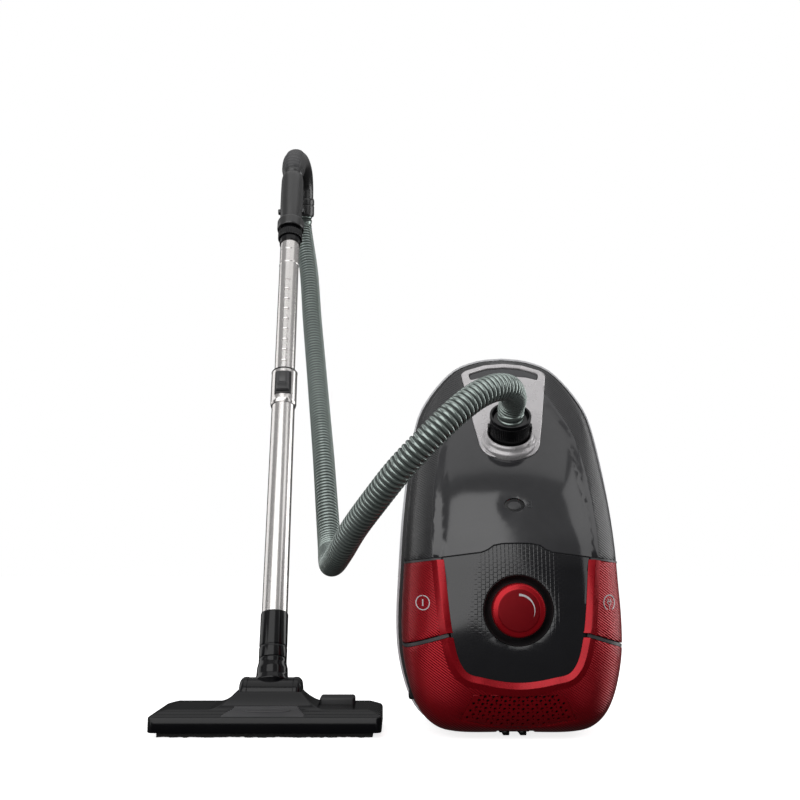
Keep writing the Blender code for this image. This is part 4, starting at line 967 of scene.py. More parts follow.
def dial():
    dish = [(0.006, -0.0130), (0.0330, -0.0130), (0.0360, -0.0118), (0.0385, -0.0075),
            (DISH_R - 0.0012, -0.0012), (DISH_R - 0.0004, -0.0002), (DISH_R - 0.0002, -0.0050),
            (0.0385, -0.0140), (0.0340, -0.0160), (0.006, -0.0160)]
    turned("dial_recess", soften(dish + dish[:1], 0.0015)[:-1], "dish", "canister", ["dial_dish"],
           DIAL_SEAT, 128, closed=True)
    knob = [(0, 0.0085), (0.0245, 0.0085), (0.0258, 0.0078), (0.0305, 0.0068), (0.0318, 0.0050),
            (DIAL_R - 0.0018, -0.0010), (DIAL_R - 0.0024, -0.0105), (0.0285, -0.0118), (0.0055, -0.0118),
            (0.0055, -0.0200), (0, -0.0200)]

    def knurl(a, r, h):
        return 0.00035 * math.cos(a * 90) if -0.002 < h < 0.0065 and r > 0.030 else 0.0
    item = turned("dial_knob", soften(knob, 0.0010), ["dial", "dial_edge_painted_highlight"], "power_dial", ["power_dial"],
                  DIAL_SEAT, 720, ripple=knurl, angle=50)
    # Faces more than 25 mm from the dial's axis, its bevel and knurled rim, take the brighter red: painted
    # highlight.
    to_seat = DIAL_SEAT.inverted()
    for face in item.data.polygons:
        face.material_index = int((to_seat @ face.center).to_2d().length > 0.0250)
    work = bmesh.new()
    rows = []
    for t in np.arange(33) / 32:
        a = math.radians(90 - 112 * t)
        half = 0.0013 * (1 - t) ** 0.8 + 0.0001
        section = ((0.0185 - half, 0.0083), (0.0185 + half, 0.0083), (0.0185 + half, 0.0087),
                   (0.0185 - half, 0.0087))
        rows.append([(r * math.cos(a), r * math.sin(a), height) for r, height in section])
    grid(work, rows)
    piece("dial_mark", work, "mark", "power_dial", (), DIAL_SEAT)


# ---------------------------------------------------------------- tub, seam and inside
def outline_ring(level_share, y, shrink_by, drop=0.0, count=160):
    """A ring of the tub's outline. y gives its place in depth by height, or the parting surface's if None."""
    ring, foot = [], OUTLINE[0][1]
    for k in range(count):
        angle = 2 * math.pi * k / count
        limit = float(np.interp(abs(math.atan2(math.sin(angle), math.cos(angle))), *LOWER_TABLE)) - shrink_by
        x, z = limit * math.sin(angle), CENTRE_Z + limit * math.cos(angle)
        x, z = x * level_share, (z - foot) * level_share + foot
        back = parting(z) if y is None else y(z)
        ring.append((x, back + drop, max(z, foot + shrink_by)))
    return ring


def between(y_low, share):
    """A place in depth between the parting surface and y_low."""
    return lambda z: parting(z) + 0.0033 + (y_low - parting(z) - 0.0033) * share


def cut(item, cutters):
    """Subtract the cutters from a piece, and remove them."""
    for cutter in cutters:
        step = item.modifiers.new("cut", "BOOLEAN")
        step.operation, step.solver, step.object = "DIFFERENCE", "EXACT", cutter
    bpy.context.view_layer.update()
    graph = bpy.context.evaluated_depsgraph_get()
    mesh = bpy.data.meshes.new_from_object(item.evaluated_get(graph), depsgraph=graph)
    item.modifiers.clear()
    item.data = mesh
    for cutter in cutters:
        bpy.data.objects.remove(cutter, do_unlink=True)
    mesh.shade_smooth()
    mesh.set_sharp_from_angle(angle=math.radians(35))


def tub():
    levels = [(0.9985, 0.0), (1.0, 0.02), (1.0, 0.35), (0.998, 0.50), (0.993, 0.64), (0.985, 0.75),
              (0.972, 0.86), (0.955, 0.93), (0.930, 0.98), (0.90, 1.0), (0.885, 1.0), (0.880, 0.985),
              (0.86, 0.985)]
    outer = [outline_ring(s, between(UNDERSIDE_Y, t), 0.0) for s, t in levels]
    inner = [outline_ring(s * 0.985, between(UNDERSIDE_Y - WALL, t), WALL * 0.6)
             for s, t in levels]
    work = bmesh.new()
    grid(work, list(reversed(inner)) + outer)
    item = piece("tub_shell", work, "pale", "canister", ["lower_shell"])
    cutters = []
    for side in (-1, 1):
        low = (side * WHEEL_X - WHEEL_WIDTH / 2 - 0.003, WHEEL_Y - 0.045, WHEEL_Z - WHEEL_R - 0.003)
        high = (side * WHEEL_X + WHEEL_WIDTH / 2 + 0.003, WHEEL_Y + 0.06, WHEEL_Z + WHEEL_R + 0.003)
        cutters.append(block(f"cutter_{side}", low, high, "pale", None, round_by=0.006))
    seat = Matrix.Translation((0, 0.0, CASTER_Z)) @ Matrix.Rotation(math.radians(-90), 4, "X")
    cutters.append(turned("cutter_stem", [(0, 0.0), (0.0048, 0.0), (0.0048, 0.2), (0, 0.2)], "pale", None,
                          seat=seat, sides=32))
    cut(item, cutters)
    for k, x in enumerate((-0.052, -0.026, 0.026, 0.052)):
        block(f"underside_rib_{k}", (x - 0.0022, 0.0835, 0.150), (x + 0.0022, 0.0865, 0.350), "pale",
              "canister", round_by=0.0010)
    for side in (-1, 1):
        low = (side * WHEEL_X - 0.017, 0.0, WHEEL_Z - 0.054)
        high = (side * WHEEL_X + 0.017, 0.075, WHEEL_Z + 0.054)
        arch = block(f"wheel_well_{'l' if side < 0 else 'r'}", low, high, "satin", "canister",
                     round_by=0.003)
        inside = block("cutter_well", (low[0] + 0.0012, low[1] + 0.0012, low[2] + 0.0012),
                       (high[0] - 0.0012, high[1] + 0.03, high[2] - 0.0012), "satin", None, round_by=0.003)
        cut(arch, [inside])


def seam():
    """The dark seam line, and the pale shell's rim just behind it."""
    for name, look, top, foot, inset, nodes in (
            ("seam_strip", "satin", 0.0003, 0.0012, 0.0030, ["seam_band"]),
            ("tub_rim", "pale", 0.0013, 0.0032, 0.0004, ())):
        steps = ((top, 0.0004), (top + 0.0003, 0.0), (foot, 0.0), (foot, 0.006), (top, 0.006))
        rings = [outline_ring(1.0, None, inset + more, drop) for drop, more in steps]
        piece(name, closed_grid(rings, 1e-6), look, "canister", nodes)


def dust_bag():
    rows = []
    for k in range(1, 40):
        angle = math.pi * k / 40
        width, depth = math.sin(angle) ** 0.5, math.sin(angle) ** 0.55
        z = 0.282 - 0.056 * math.cos(angle)
        row = []
        for c, s in around(96):
            x = math.copysign(abs(c) ** 0.7, c) * 0.098 * width
            y = 0.020 + math.copysign(abs(s) ** 0.7, s) * 0.044 * depth
            crumple = noise.noise(Vector((x * 28, y * 28, z * 28))) * 0.0035 - 0.0035
            out = Vector((x, (y - 0.020) * 2, 0)).normalized() if abs(x) + abs(y) > 1e-6 else Vector()
            row.append(Vector((x, y, z)) + out * crumple)
        rows.append(row)
    work = bmesh.new()
    grid(work, rows)
    item = piece("fleece_bag", work, "paper", "canister", ["dust_bag"], angle=180)


# ---------------------------------------------------------------- inlet cuff, wheels
def cuff():
    def ribs(a, r, h):
        return -0.00045 * (0.5 + 0.5 * math.cos(a * 64)) if 0.0030 < h < 0.0300 and r > 0.0245 else 0.0
    shape = [(0.0150, CUFF_SEAT), (0.0150, -0.022), (0.0221, -0.022), (0.0221, 0.0020),
             (CUFF_R - 0.0015, 0.0022), (CUFF_R - 0.0010, 0.0040), (CUFF_R - 0.0008, 0.0200),
             (CUFF_R - 0.0006, 0.0290), (CUFF_R, 0.0305), (CUFF_R, CUFF_LENGTH),
             (CUFF_R - 0.0025, CUFF_LENGTH), (0.0215, 0.0290), (0.0150, CUFF_SEAT)]
    turned("cuff_sleeve", soften(shape, 0.0006), "black", "hose_cuff", ["hose_cuff"], INLET, 512,
           ripple=ribs, angle=50)
    for name, side in (("cuff_catch_left", -1), ("cuff_catch_right", 1)):
        x = side * CUFF_R
        block(name + "_cap", (x - 0.0017, -0.0042, 0.0083), (x + 0.0022, 0.0042, 0.0197), "black", name,
              [name], INLET, 0.0010)


def wheels():
    half = WHEEL_WIDTH / 2
    for name, side in (("wheel_left", -1), ("wheel_right", 1)):
        seat = (Matrix.Translation((side * WHEEL_X, WHEEL_Y, WHEEL_Z))
                @ Matrix.Rotation(math.radians(90 * side), 4, "Y"))
        tyre = [(0.0440, -half + 0.001), (0.046, -half), (WHEEL_R - 0.004, -half), (WHEEL_R, -half + 0.005),
                (WHEEL_R, half - 0.005), (WHEEL_R - 0.004, half), (0.046, half), (0.0440, half - 0.001)]

        def tread(a, r, h):
            return -0.0004 * (0.5 + 0.5 * math.cos(a * 60)) if r > WHEEL_R - 0.001 else 0.0
        turned(name + "_tyre", soften(tyre, 0.0012), "rubber", name, [name], seat, 240, ripple=tread)
        hub = [(0.0049, half - 0.002), (0.012, half - 0.001), (0.014, half - 0.004), (0.036, half - 0.006),
               (0.041, half - 0.002), (0.0442, half - 0.001), (0.0442, -half + 0.001), (0.036, -half + 0.003),
               (0.0049, -half + 0.002)]

        turned(name + "_hub", soften(hub, 0.0010), "divider", name, (), seat, 96)
        for k in range(6):
            turn = seat @ Matrix.Rotation(math.radians(60 * k), 4, "Z")
            block(f"{name}_spoke_{k}", (0.012, -0.0022, half - 0.0075), (0.040, 0.0022, half - 0.0026),
                  "divider", name, (), turn, 0.0008)


def covers():
    lid()
    bezel()
    centre_panel()
    side_button("power_button", -1)
    side_button("rewind_button", 1)
    divider("divider_left", -1)
    divider("divider_right", 1)
    red_shell()
    lips()
    grille()
    symbols()
    indicator()
    dial()
    tub()
    seam()
    dust_bag()
    cuff()
    wheels()


covers()


# ---------------------------------------------------------------- wand
def near(value, centre, width):
    """One at the centre, falling to nothing around it."""
    return math.exp(-((value - centre) / width) ** 2)


def tube_rows(radius, heights, bump, sides=128):
    """Rings of a tube whose surface is moved by bump(angle from the front, height)."""
    rows = []
    for h in heights:
        row = []
        for k in range(sides):
            a = 2 * math.pi * k / sides
            front = math.atan2(math.sin(a + math.pi / 2), math.cos(a + math.pi / 2))
            r = radius + bump(front, h)
            row.append((r * math.cos(a), r * math.sin(a), h))
        rows.append(row)
    return rows


def step_list(*spans):
    """Heights over consecutive spans of (end, step)."""
    result = [spans[0][0]]
    for end, step in spans[1:]:
        count = max(1, int(round((end - result[-1]) / step)))
        start = result[-1]
        result += [start + (end - start) * k / count for k in range(1, count + 1)]
    return result


def upper_tube():
    lows = [NOTCH_FIRST + k * NOTCH_PITCH for k in range(NOTCHES)]

    def bump(front, h):
        rise = 0.00055 * near(h, 0.7175, 0.0010)
        rise += 0.00045 * near(h, 0.7450, 0.0010) * (1 if abs(front) < 0.42 else 0)
        if abs(front) < 0.30 and lows[0] - 0.004 < h < lows[-1] + 0.008:
            deep = any(low < h < low + 0.0032 for low in lows)
            edge = min(1.0, (0.30 - abs(front)) / 0.05)
            rise -= (0.0013 if deep else 0.0) * edge
            strip = any(low + 0.0050 < h < low + 0.0150 for low in lows[:-1])
            rise += (0.00022 if strip else 0.0) * edge
        return rise
    heights = step_list((UPPER_FOOT, 0), (0.500, 0.02), (0.760, 0.0007), (UPPER_TOP, 0.01))
    rows = tube_rows(UPPER_R, heights, bump)
    inner = tube_rows(UPPER_R - 0.001, [UPPER_TOP, UPPER_FOOT], lambda f, h: 0.0)
    piece("wand_upper_tube", closed_grid(rows + inner), "tube", "canister", ["upper_tube"], WAND, 30)


def lower_tube():
    profile = [(LOWER_R - 0.0008, 0.4700), (LOWER_R - 0.0008, SOCKET_TOP + GAP), (LOWER_R, SOCKET_TOP + GAP),
               (LOWER_R, 0.4700), (LOWER_R - 0.0008, 0.4700)]
    turned("wand_lower_tube", profile, "tube", "lower_wand", ["lower_tube"], WAND, 128)

    def bump(front, h):
        window = abs(front) < 0.64 and 0.4560 < h < 0.4960
        rise = -0.0026 if window else 0.0
        rise += 0.0007 * near(h, 0.4485, 0.0030) * (near(front, 0.42, 0.16) + near(front, -0.42, 0.16))
        rise -= 0.0010 * max(0.0, 1 - (h - COLLAR_FOOT) / 0.004)
        rise -= 0.0008 * max(0.0, (h - COLLAR_TOP + 0.0015) / 0.0015)
        return rise
    heights = step_list((COLLAR_FOOT, 0), (COLLAR_TOP, 0.0006))
    rows = tube_rows(COLLAR_R, heights, bump)
    inner = tube_rows(UPPER_R + GAP, [COLLAR_TOP, COLLAR_FOOT], lambda f, h: 0.0)
    piece("wand_collar", closed_grid(rows + inner), "tube", "lower_wand", ["telescope_collar"], WAND, 30)
    ring = [(UPPER_R + 0.0004, 0.5022), (COLLAR_R + 0.0002, 0.5022), (COLLAR_R + 0.0004, 0.5034),
            (COLLAR_R - 0.0006, 0.5046), (UPPER_R + 0.0004, 0.5046)]
    turned("collar_ring", ring + ring[:1], "black", "lower_wand", (), WAND, 96)
    block("collar_slot", (-0.0116, -0.0190, 0.4565), (0.0116, -0.0168, 0.4957), "satin", "lower_wand", (),
          WAND, 0.0006)


def telescope_button():
    block("slide_button", (-0.0100, -0.0224, 0.4605), (0.0100, -0.0192, 0.4950), "divider",
          "telescope_button", ["telescope_button"], WAND, 0.0010)
    block("slide_spine", (-0.0058, -0.0232, 0.4745), (0.0058, -0.0215, 0.4948), "handle",
          "telescope_button", (), WAND, 0.0009)
    block("slide_pad", (-0.0096, -0.0238, 0.4615), (0.0096, -0.0215, 0.4740), "handle", "telescope_button",
          (), WAND, 0.0010)
    for k in range(4):
        h = 0.4632 + k * 0.0026
        block(f"slide_ridge_{k}", (-0.0072, -0.0246, h), (0.0072, -0.0232, h + 0.0012), "divider",
              "telescope_button", (), WAND, 0.0004)


def neck():
    socket = [(0.0150, 0.150), (0.0150, SOCKET_FOOT + GAP), (0.0186, SOCKET_FOOT + GAP), (0.0188, 0.0640),
              (0.0181, 0.0650), (0.0181, 0.0662), (0.0187, 0.0672), (0.0186, SOCKET_TOP - 0.0012),
              (0.0180, SOCKET_TOP), (LOWER_R - 0.0013, SOCKET_TOP), (LOWER_R - 0.0013, 0.150),
              (0.0150, 0.150)]
    turned("neck_sleeve", soften(socket, 0.0005), "black", "lower_wand", ["neck_socket"], WAND, 96)
    axle = Matrix.Translation(WAND_ORIGIN) @ Matrix.Rotation(math.radians(90), 4, "Y")
    shape = [(0, -BARREL_HALF), (BARREL_R - 0.0045, -BARREL_HALF), (BARREL_R, -BARREL_HALF + 0.0045),
             (BARREL_R, -0.0300), (BARREL_R - 0.0006, -0.0294), (BARREL_R - 0.0006, 0.0294),
             (BARREL_R, 0.0300), (BARREL_R, BARREL_HALF - 0.0045), (BARREL_R - 0.0045, BARREL_HALF),
             (0, BARREL_HALF)]
    turned("neck_barrel", soften(shape, 0.0030), "black", "neck_elbow", ["neck_elbow"], axle, 128)
    throat = [(0.0145, SOCKET_FOOT), (0.0145, 0.008), (0.0235, 0.020), (0.0208, 0.0270), (0.0203, 0.0370),
              (0.0186, 0.0440), (0.0186, SOCKET_FOOT), (0.0145, SOCKET_FOOT)]
    turned("neck_throat", soften(throat, 0.0015), "black", "neck_elbow", (), WAND, 96)


PAD_FOOT, PAD_TOP = 0.9270, 0.9900


def handle():
    route = [(x, y, max(z, UPPER_TOP + 0.001)) for x, y, z in HANDLE_ROUTE]
    centres, sizes = smooth_curve(route, 14), smooth_curve([(r, 0.0) for r in HANDLE_RADII], 14)[:, 0]
    keep = [0]
    for k in range(1, len(centres)):
        if np.linalg.norm(centres[k] - centres[keep[-1]]) > 0.0009:
            keep.append(k)
    centres, sizes = centres[keep], sizes[keep]
    sizes = np.array([s - 0.0012 * near(c[2], 0.9190, 0.0016) * (c[1] < 0.02)
                      for s, c in zip(sizes, centres)])
    rows = pipe_rows(centres, sizes, 64)
    inner = list(reversed(pipe_rows(centres, np.full(len(centres), 0.0140), 64)))
    piece("handle_tube", closed_grid(rows + inner), "handle", "canister", ["handle_body"], WAND, 40)
    work = bmesh.new()
    outer = []
    pad_from = int(np.argmin(np.abs(centres[:, 2] - PAD_FOOT)))
    pad_to = int(np.argmin(np.abs(centres[:, 2] - PAD_TOP) + 9.0 * (centres[:, 1] > 0.06)))
    pad_rows = [int(round(k)) for k in np.linspace(pad_from, pad_to, 33)]
    for k in range(33):
        place, r = Vector(centres[pad_rows[k]]), sizes[pad_rows[k]]
        ahead = Vector(centres[pad_rows[k] + 1] - centres[pad_rows[k] - 1]).normalized()
        ridge = 0.0005 * math.cos(math.pi * k / 2) if 5 < k < 22 else 0.0
        row = []
        for j in range(15):
            a = math.radians((j - 7) * 6.5)
            lift = 0.0022 * (1 - (abs(j - 7) / 7.0) ** 4) + ridge * (abs(j - 7) < 6)
            lift *= 1 - max(abs(k - 16) / 16.0 - 0.8, 0) * 4
            front = ahead.cross(Vector((1, 0, 0))).normalized() * -1
            row.append(place + (Vector((1, 0, 0)) * math.sin(a) + front * math.cos(a)) * (r - 0.0004 + lift))
        outer.append(row)
    grid(work, outer, wrap=False)
    item = piece("handle_pad", work, "divider", "canister", ["handle_grip"], WAND, 60)
    thick = item.modifiers.new("thick", "SOLIDIFY")
    thick.thickness, thick.offset = 0.0025, -1.0
    collar = [(UPPER_R + GAP, HANDLE_FOOT), (0.0172, HANDLE_FOOT), (0.0174, 0.7640),
              (0.0172, UPPER_TOP + 0.0005), (UPPER_R + GAP, UPPER_TOP + 0.0005),
              (UPPER_R + GAP, HANDLE_FOOT)]
    turned("handle_sleeve", soften(collar, 0.0004), "black", "canister", ["handle_collar"], WAND, 96)

    def ribs(a, r, h):
        return -0.0007 * (0.5 + 0.5 * math.cos(a * 34)) if r > 0.0198 else 0.0
    nut = [(0.0176, 0.7740), (0.0200, 0.7740), (0.0206, 0.7755), (0.0206, 0.7865), (0.0200, 0.7880),
           (0.0176, 0.7880), (0.0176, 0.7740)]
    turned("handle_nut_ribbed", soften(nut, 0.0004), "black", "handle_nut", ["handle_nut"], WAND, 408,
           ripple=ribs)
    ring = [(0.0195, 0.7940), (0.0220, 0.7940), (0.0226, 0.7965), (0.0226, 0.8105), (0.0216, 0.8130),
            (0.0195, 0.8130), (0.0195, 0.7940)]
    turned("handle_air_ring", soften(ring, 0.0008), "handle", "airflow_ring", ["airflow_ring"], WAND, 128)
    for side in (-1, 1):
        x = side * 0.0190
        block(f"handle_nub_{'l' if side < 0 else 'r'}", (x - 0.0035, -0.0040, 0.8330),
              (x + 0.0035, 0.0040, 0.8410), "handle", "canister", (), WAND, 0.0015)
    end, down = handle_end()
    seat = WAND @ Matrix.Translation(end + down * GAP) @ down.to_track_quat("Z", "Y").to_matrix().to_4x4()
    swivel = [(0.0135, SWIVEL_SEAT), (0.0135, 0.0), (0.0192, 0.0), (0.0205, 0.004), (0.0205, 0.0120),
              (0.0198, 0.0128), (0.0198, 0.0142), (0.0205, 0.0150), (0.0205, 0.030), (0.0195, 0.034),
              (0.0181, 0.034), (0.0181, SWIVEL_SEAT), (0.0135, SWIVEL_SEAT)]
    turned("hose_swivel_sleeve", soften(swivel, 0.0005), "handle", "hose_swivel", ["hose_swivel"], seat, 96)


# ---------------------------------------------------------------- floor head
NECK_X = WAND_ORIGIN.x


def beside_step(x, y):
    """Distance outwards from the slanted ends of the raised middle."""
    return abs(x - NECK_X) - 0.050 + 0.35 * max(y + 0.066, 0)


def head_height(x, y):
    """The height of the head's top over a point of its footprint."""
    across, deep = HEAD_HALF - abs(x - HEAD_X), y - HEAD_FRONT
    t = min(deep / 0.030, across / 0.017, 1.0)
    z = 0.0250 + 0.0050 * max(t, 0.0) ** 0.75
    to_edge = min(across, deep, HEAD_REAR - y)
    z -= 0.0018 * max(0.0, 1 - to_edge / 0.0022) ** 2
    side = abs(x - NECK_X)
    if beside_step(x, y) > 0:
        for groove in (-0.0640, -0.0500):
            z -= 0.0007 * near(y, groove - 0.10 * max(0, 0.09 - across) * 0.1, 0.0011)
    hump = min((0.0720 - side) / 0.0300, (y + 0.046) / 0.0300, (0.036 - y) / 0.024, 1.0)
    z += 0.0175 * max(hump, 0.0) ** 1.9
    if side < 0.0411 and abs(y - 0.016) < 0.0261:
        z = min(z, 0.0373 - math.sqrt(max(0.0261 ** 2 - (y - 0.016) ** 2, 0.0)))
    if side < 0.0240 and y > 0.010:
        z = 0.0090
    if abs(x - PEDAL_X) < 0.0233 and -0.0005 < y < 0.0305:
        z = 0.0165
    return z


def head():
    x0, x1 = HEAD_X - HEAD_HALF, HEAD_X + HEAD_HALF
    e = 0.00004
    edge_steps = (0.0006, 0.0012, 0.0022)
    xs = list(np.linspace(x0, x1, 160)) + [x0 + k for k in edge_steps] + [x1 - k for k in edge_steps]
    for b in (NECK_X - 0.0411, NECK_X + 0.0411, NECK_X - 0.0240, NECK_X + 0.0240, PEDAL_X - 0.0233, PEDAL_X
              + 0.0233):
        xs += [b - e, b + e]
    ys = list(np.linspace(HEAD_FRONT, HEAD_REAR, 90)) + [HEAD_FRONT + k for k in edge_steps]
    for b in (0.010, -0.0005, 0.0305, 0.016 - 0.0261):
        ys += [b - e, b + e]
    xs, ys = sorted(xs), sorted(ys)
    radius = 0.007

    def round_corner(x, y):
        cx = min(max(x, x0 + radius), x1 - radius)
        cy = min(max(y, HEAD_FRONT + radius), HEAD_REAR - radius)
        off = Vector((x - cx, y - cy))
        if off.length > radius:
            off *= radius / off.length
        return cx + off.x, cy + off.y
    work = bmesh.new()
    made = grid(work, [[(*round_corner(x, y), head_height(x, y)) for x in xs] for y in ys], wrap=False)
    for face in work.faces:
        x, y, _ = face.calc_center_median()
        face.material_index = int(beside_step(x, y) < 0 and -0.0722 < y < -0.0350)
    border = (made[0] + [row[-1] for row in made[1:]] + list(reversed(made[-1][:-1]))
              + [row[0] for row in reversed(made[1:-1])])
    loops = [border]
    for drop, inset in ((0.0075, 0.0), (0.0065, 0.0008), (0.0065, 0.0045), (0.0150, 0.0050)):
        loop = []
        for vert in border:
            x, y = vert.co.x, vert.co.y
            cx, cy = HEAD_X, (HEAD_FRONT + HEAD_REAR) / 2
            nx = x - math.copysign(min(inset, abs(x - cx)), x - cx) * (1 if abs(x - cx) > HEAD_HALF - 0.008
                                                                       else 0)
            ny = y - math.copysign(min(inset, abs(y - cy)), y - cy) * (1 if abs(y - cy) > 0.0487 else 0)
            loop.append(work.verts.new((nx, ny, drop)))
        loops.append(loop)
    for low, high in zip(loops, loops[1:]):
        for k in range(len(low)):
            n = (k + 1) % len(low)
            if low[k] is not low[n]:
                work.faces.new((low[k], low[n], high[n], high[k]))
    work.faces.new(loops[-1])
    piece("head_cover", work, ["black", "divider"], "head", ["head_housing"], angle=40)
    badge = []
    for lift, scale in ((0.0002, 1.0), (0.0010, 0.98), (0.0011, 0.90), (0.0008, 0.88), (0.0008, 0.3)):
        row = []
        for c, s in around(64):
            x = NECK_X + 0.003 + 0.0290 * scale * math.copysign(abs(c) ** 0.8, c)
            y = -0.0490 + 0.0058 * (scale if scale > 0.5 else 0.3) * math.copysign(abs(s) ** 0.8, s)
            row.append((x, y, head_height(x, y) + lift))
        badge.append(row)
    work = bmesh.new()
    grid(work, badge)
    piece("head_badge", work, "divider", "head")


def head_details():
    block("pedal_cap", (PEDAL_X - 0.0227, 0.0005, 0.0240), (PEDAL_X + 0.0227, 0.0295, 0.0392), "satin",
          "brush_pedal", ["brush_pedal"], None, 0.0035, 5)
    rng = np.random.default_rng(7)
    x0, x1 = HEAD_X - HEAD_HALF, HEAD_X + HEAD_HALF

    def loop_points(inset_x, front, rear, count):
        a, b = x0 + inset_x, x1 - inset_x
        around = [(a, front), (b, front), (b, rear), (a, rear)]
        result = []
        for (ax, ay), (bx, by) in zip(around, around[1:] + around[:1]):
            n = int(count * math.dist((ax, ay), (bx, by)) / 0.69)
            result += [(ax + (bx - ax) * k / n, ay + (by - ay) * k / n) for k in range(n)]
        return result
    outer = loop_points(0.0110, HEAD_FRONT + 0.0065, 0.0180, 640)
    inner = loop_points(0.0240, -0.0535, 0.0135, 640)
    picks = [inner[int(k * len(inner) / len(outer))] for k in range(len(outer))]
    centre = Vector((HEAD_X, -0.025))
    tuft = rng.uniform(0.0, 0.0010, len(outer) // 5 + 2)
    fray = [tuft[k // 5] + rng.uniform(0.0, 0.00035) for k in range(len(outer))]
    wave = [0.00035 * math.sin(k * math.pi / 2.5) for k in range(len(outer))]
    push = [(Vector(p) - centre).normalized() for p in outer]
    rows = [[(p[0], p[1], 0.0070) for p in outer],
            [(p[0] + d.x * w, p[1] + d.y * w, 0.0035) for p, d, w in zip(outer, push, wave)],
            [(p[0] + d.x * w, p[1] + d.y * w, 0.0001 + f) for p, d, w, f in zip(outer, push, wave, fray)],
            [(p[0], p[1], 0.0001 + f) for p, f in zip(picks, fray)],
            [(p[0], p[1], 0.0070) for p in picks]]
    piece("head_bristles", closed_grid(rows), "bristle", "brush_frame", ["brush_frame"])


# ---------------------------------------------------------------- CAD pieces that stay, with their finish
KEPT = {
    "satin": ["bulkhead", "bag_holder", "cord_reel", "sole_plate", "reel_brake_lever", "inlet_socket"],
    "black": ["caster_fork"],
    "rubber": ["caster_wheel", "motor_seal", "head_wheel_left", "head_wheel_right"],
    "steel": ["motor_housing", "reel_axle", "rear_axle", "power_spring", "rewind_spring"],
    "copper": ["motor_rotor"],
    "paper": ["bag_collar"],
    "felt": ["motor_filter", "exhaust_filter"],
    "board": ["circuit_board"],
}


def stand_foot():
    """Two ribs under the rear edge, joined by a thin plate."""
    low, high = (Vector(c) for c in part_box("stand_foot"))
    for k, x in enumerate((-0.0115, 0.0115)):
        block(f"stand_rib_{k}", (x - 0.0050, low.y, 0.0), (x + 0.0050, high.y, high.z), "rubber",
              "canister", ["stand_foot"] if k == 0 else (), round_by=0.0012)
    block("stand_plate", (-0.030, low.y + 0.012, 0.0014), (0.030, high.y, high.z), "rubber", "canister", (),
          round_by=0.0005)


def cord_grommet():
    """The mains outlet: two short legs under a thin bridge."""
    low, high = (Vector(c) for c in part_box("cord_outlet"))
    for k, x in enumerate((-0.0105, 0.0105)):
        block(f"outlet_leg_{k}", (x - 0.0042, low.y + 0.0005, low.z), (x + 0.0042, high.y, high.z - 0.0004),
              "black", "canister", ["cord_outlet"] if k == 0 else (), round_by=0.0014)
    block("outlet_bridge", (low.x, low.y + 0.0015, high.z - 0.0022), (high.x, high.y, high.z - 0.0002),
          "black", "canister", (), round_by=0.0008)


def kept_nodes():
    """Give the CAD pieces that stay their finish."""
    for mat, names in KEPT.items():
        for name in names:
            mesh = NODES[name].data
            mesh.materials.clear()
            mesh.materials.append(M[mat])
            mesh.shade_smooth()
            mesh.set_sharp_from_angle(angle=math.radians(35))


upper_tube()
lower_tube()
telescope_button()
neck()
handle()
head()
head_details()
stand_foot()
cord_grommet()
kept_nodes()


# ---------------------------------------------------------------- floor and light
def area(name, place, look, size, strength):
    """An area light of a given radiance."""
    data = bpy.data.lights.new(name, "AREA")
    data.shape, data.size, data.size_y = "RECTANGLE", size[0], size[1]
    data.energy = strength * math.pi * size[0] * size[1]
    item = bpy.data.objects.new(name, data)
    item.location = place
    item.rotation_euler = (Vector(look) - Vector(place)).to_track_quat("-Z", "Y").to_euler()
    bpy.context.scene.collection.objects.link(item)


ROOM_LIGHT = (0.03, 0.30)                 # at the horizon and overhead
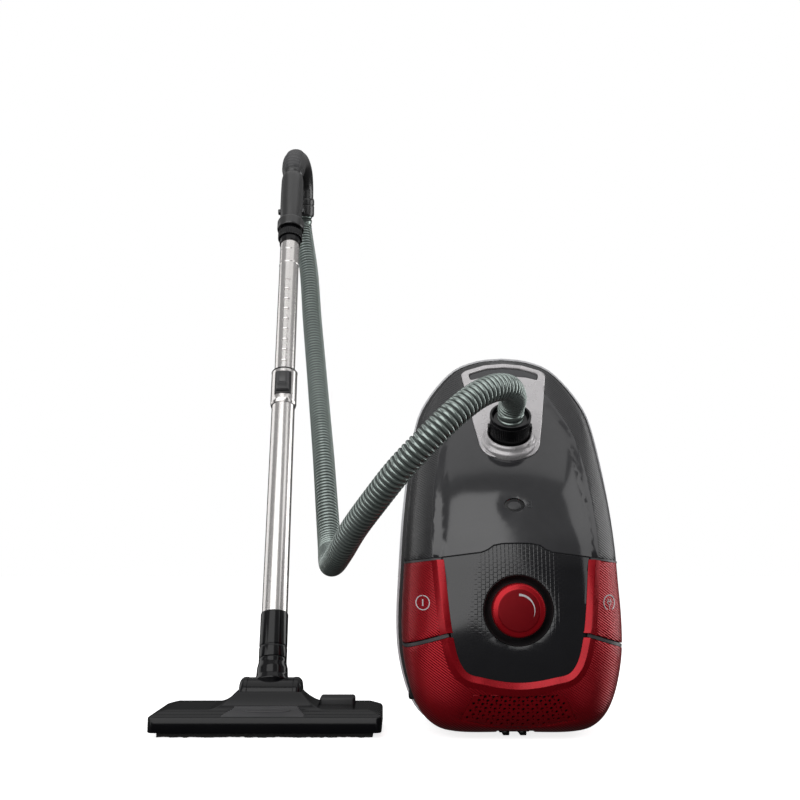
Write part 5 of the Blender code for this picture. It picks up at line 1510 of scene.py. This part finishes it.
# name, place, the point it faces, width and height, radiance
LIGHTS = [("key", (-1.45, -2.6, 2.40), (-1.45, 0.0, 2.40), (3.5, 4.9), 1.6),
          ("top", (0.0, 0.2, 2.8), (0.0, 0.2, 0.0), (3.0, 2.4), 0.6),
          ("right_rear", (2.6, 1.2, 0.8), (0.0, 0.0, 0.3), (1.6, 2.4), 2.4),
          ("right_front", (2.4, -1.2, 1.4), (0.0, 0.0, 0.3), (1.0, 3.4), 1.0),
          ("left_front", (-2.6, -1.4, 0.7), (0.0, 0.0, 0.3), (1.2, 1.8), 1.3),
          ("left_rear", (-2.6, 1.2, 0.8), (0.0, 0.0, 0.3), (1.6, 2.4), 1.0)]


def studio():
    """White surroundings for the camera, a soft room and lights for the object, and the floor."""
    scene = bpy.context.scene
    scene.view_settings.view_transform = "Standard"
    world = bpy.data.worlds.new("world")
    world.use_nodes = True
    scene.world = world
    link, nodes = world.node_tree.links.new, world.node_tree.nodes
    seen, lit = nodes["Background"], node(world, "ShaderNodeBackground", Color=(1, 1, 1, 1))
    seen.inputs["Color"].default_value, seen.inputs["Strength"].default_value = (1, 1, 1, 1), 1.0
    path, mix = node(world, "ShaderNodeLightPath"), node(world, "ShaderNodeMixShader")
    where, split = node(world, "ShaderNodeTexCoord"), node(world, "ShaderNodeSeparateXYZ")
    rising = node(world, "ShaderNodeMapRange", **{"From Min": 0.12, "From Max": 0.6, "To Min": ROOM_LIGHT[0],
                                                  "To Max": ROOM_LIGHT[1]})
    link(where.outputs["Generated"], split.inputs["Vector"])
    link(split.outputs["Z"], rising.inputs["Value"])
    link(rising.outputs["Result"], lit.inputs["Strength"])
    link(path.outputs["Is Camera Ray"], mix.inputs["Fac"])
    link(lit.outputs["Background"], mix.inputs[1])
    link(seen.outputs["Background"], mix.inputs[2])
    link(mix.outputs["Shader"], nodes["World Output"].inputs["Surface"])
    work = bmesh.new()
    rows = [[(x, y, z) for x in (-9, 9)] for y, z in ((-9, 0.0), (7, 0.0))]
    grid(work, rows, wrap=False)
    pale = M["floor"] = vary(new_material("floor_pale", (0.9, 0.9, 0.9), 0.8), (0.90, 0.90, 0.90), 0.01, 2)
    glow = pale.node_tree.nodes["Principled BSDF"]
    glow.inputs["Emission Color"].default_value, glow.inputs["Emission Strength"].default_value = (1, 1, 1,
                                                                                                   1), 0.80
    floor = piece("floor", work, "floor", None)
    floor.visible_glossy = floor.visible_diffuse = False
    for name, place, look, size, strength in LIGHTS:
        area(name, place, look, size, strength)


studio()
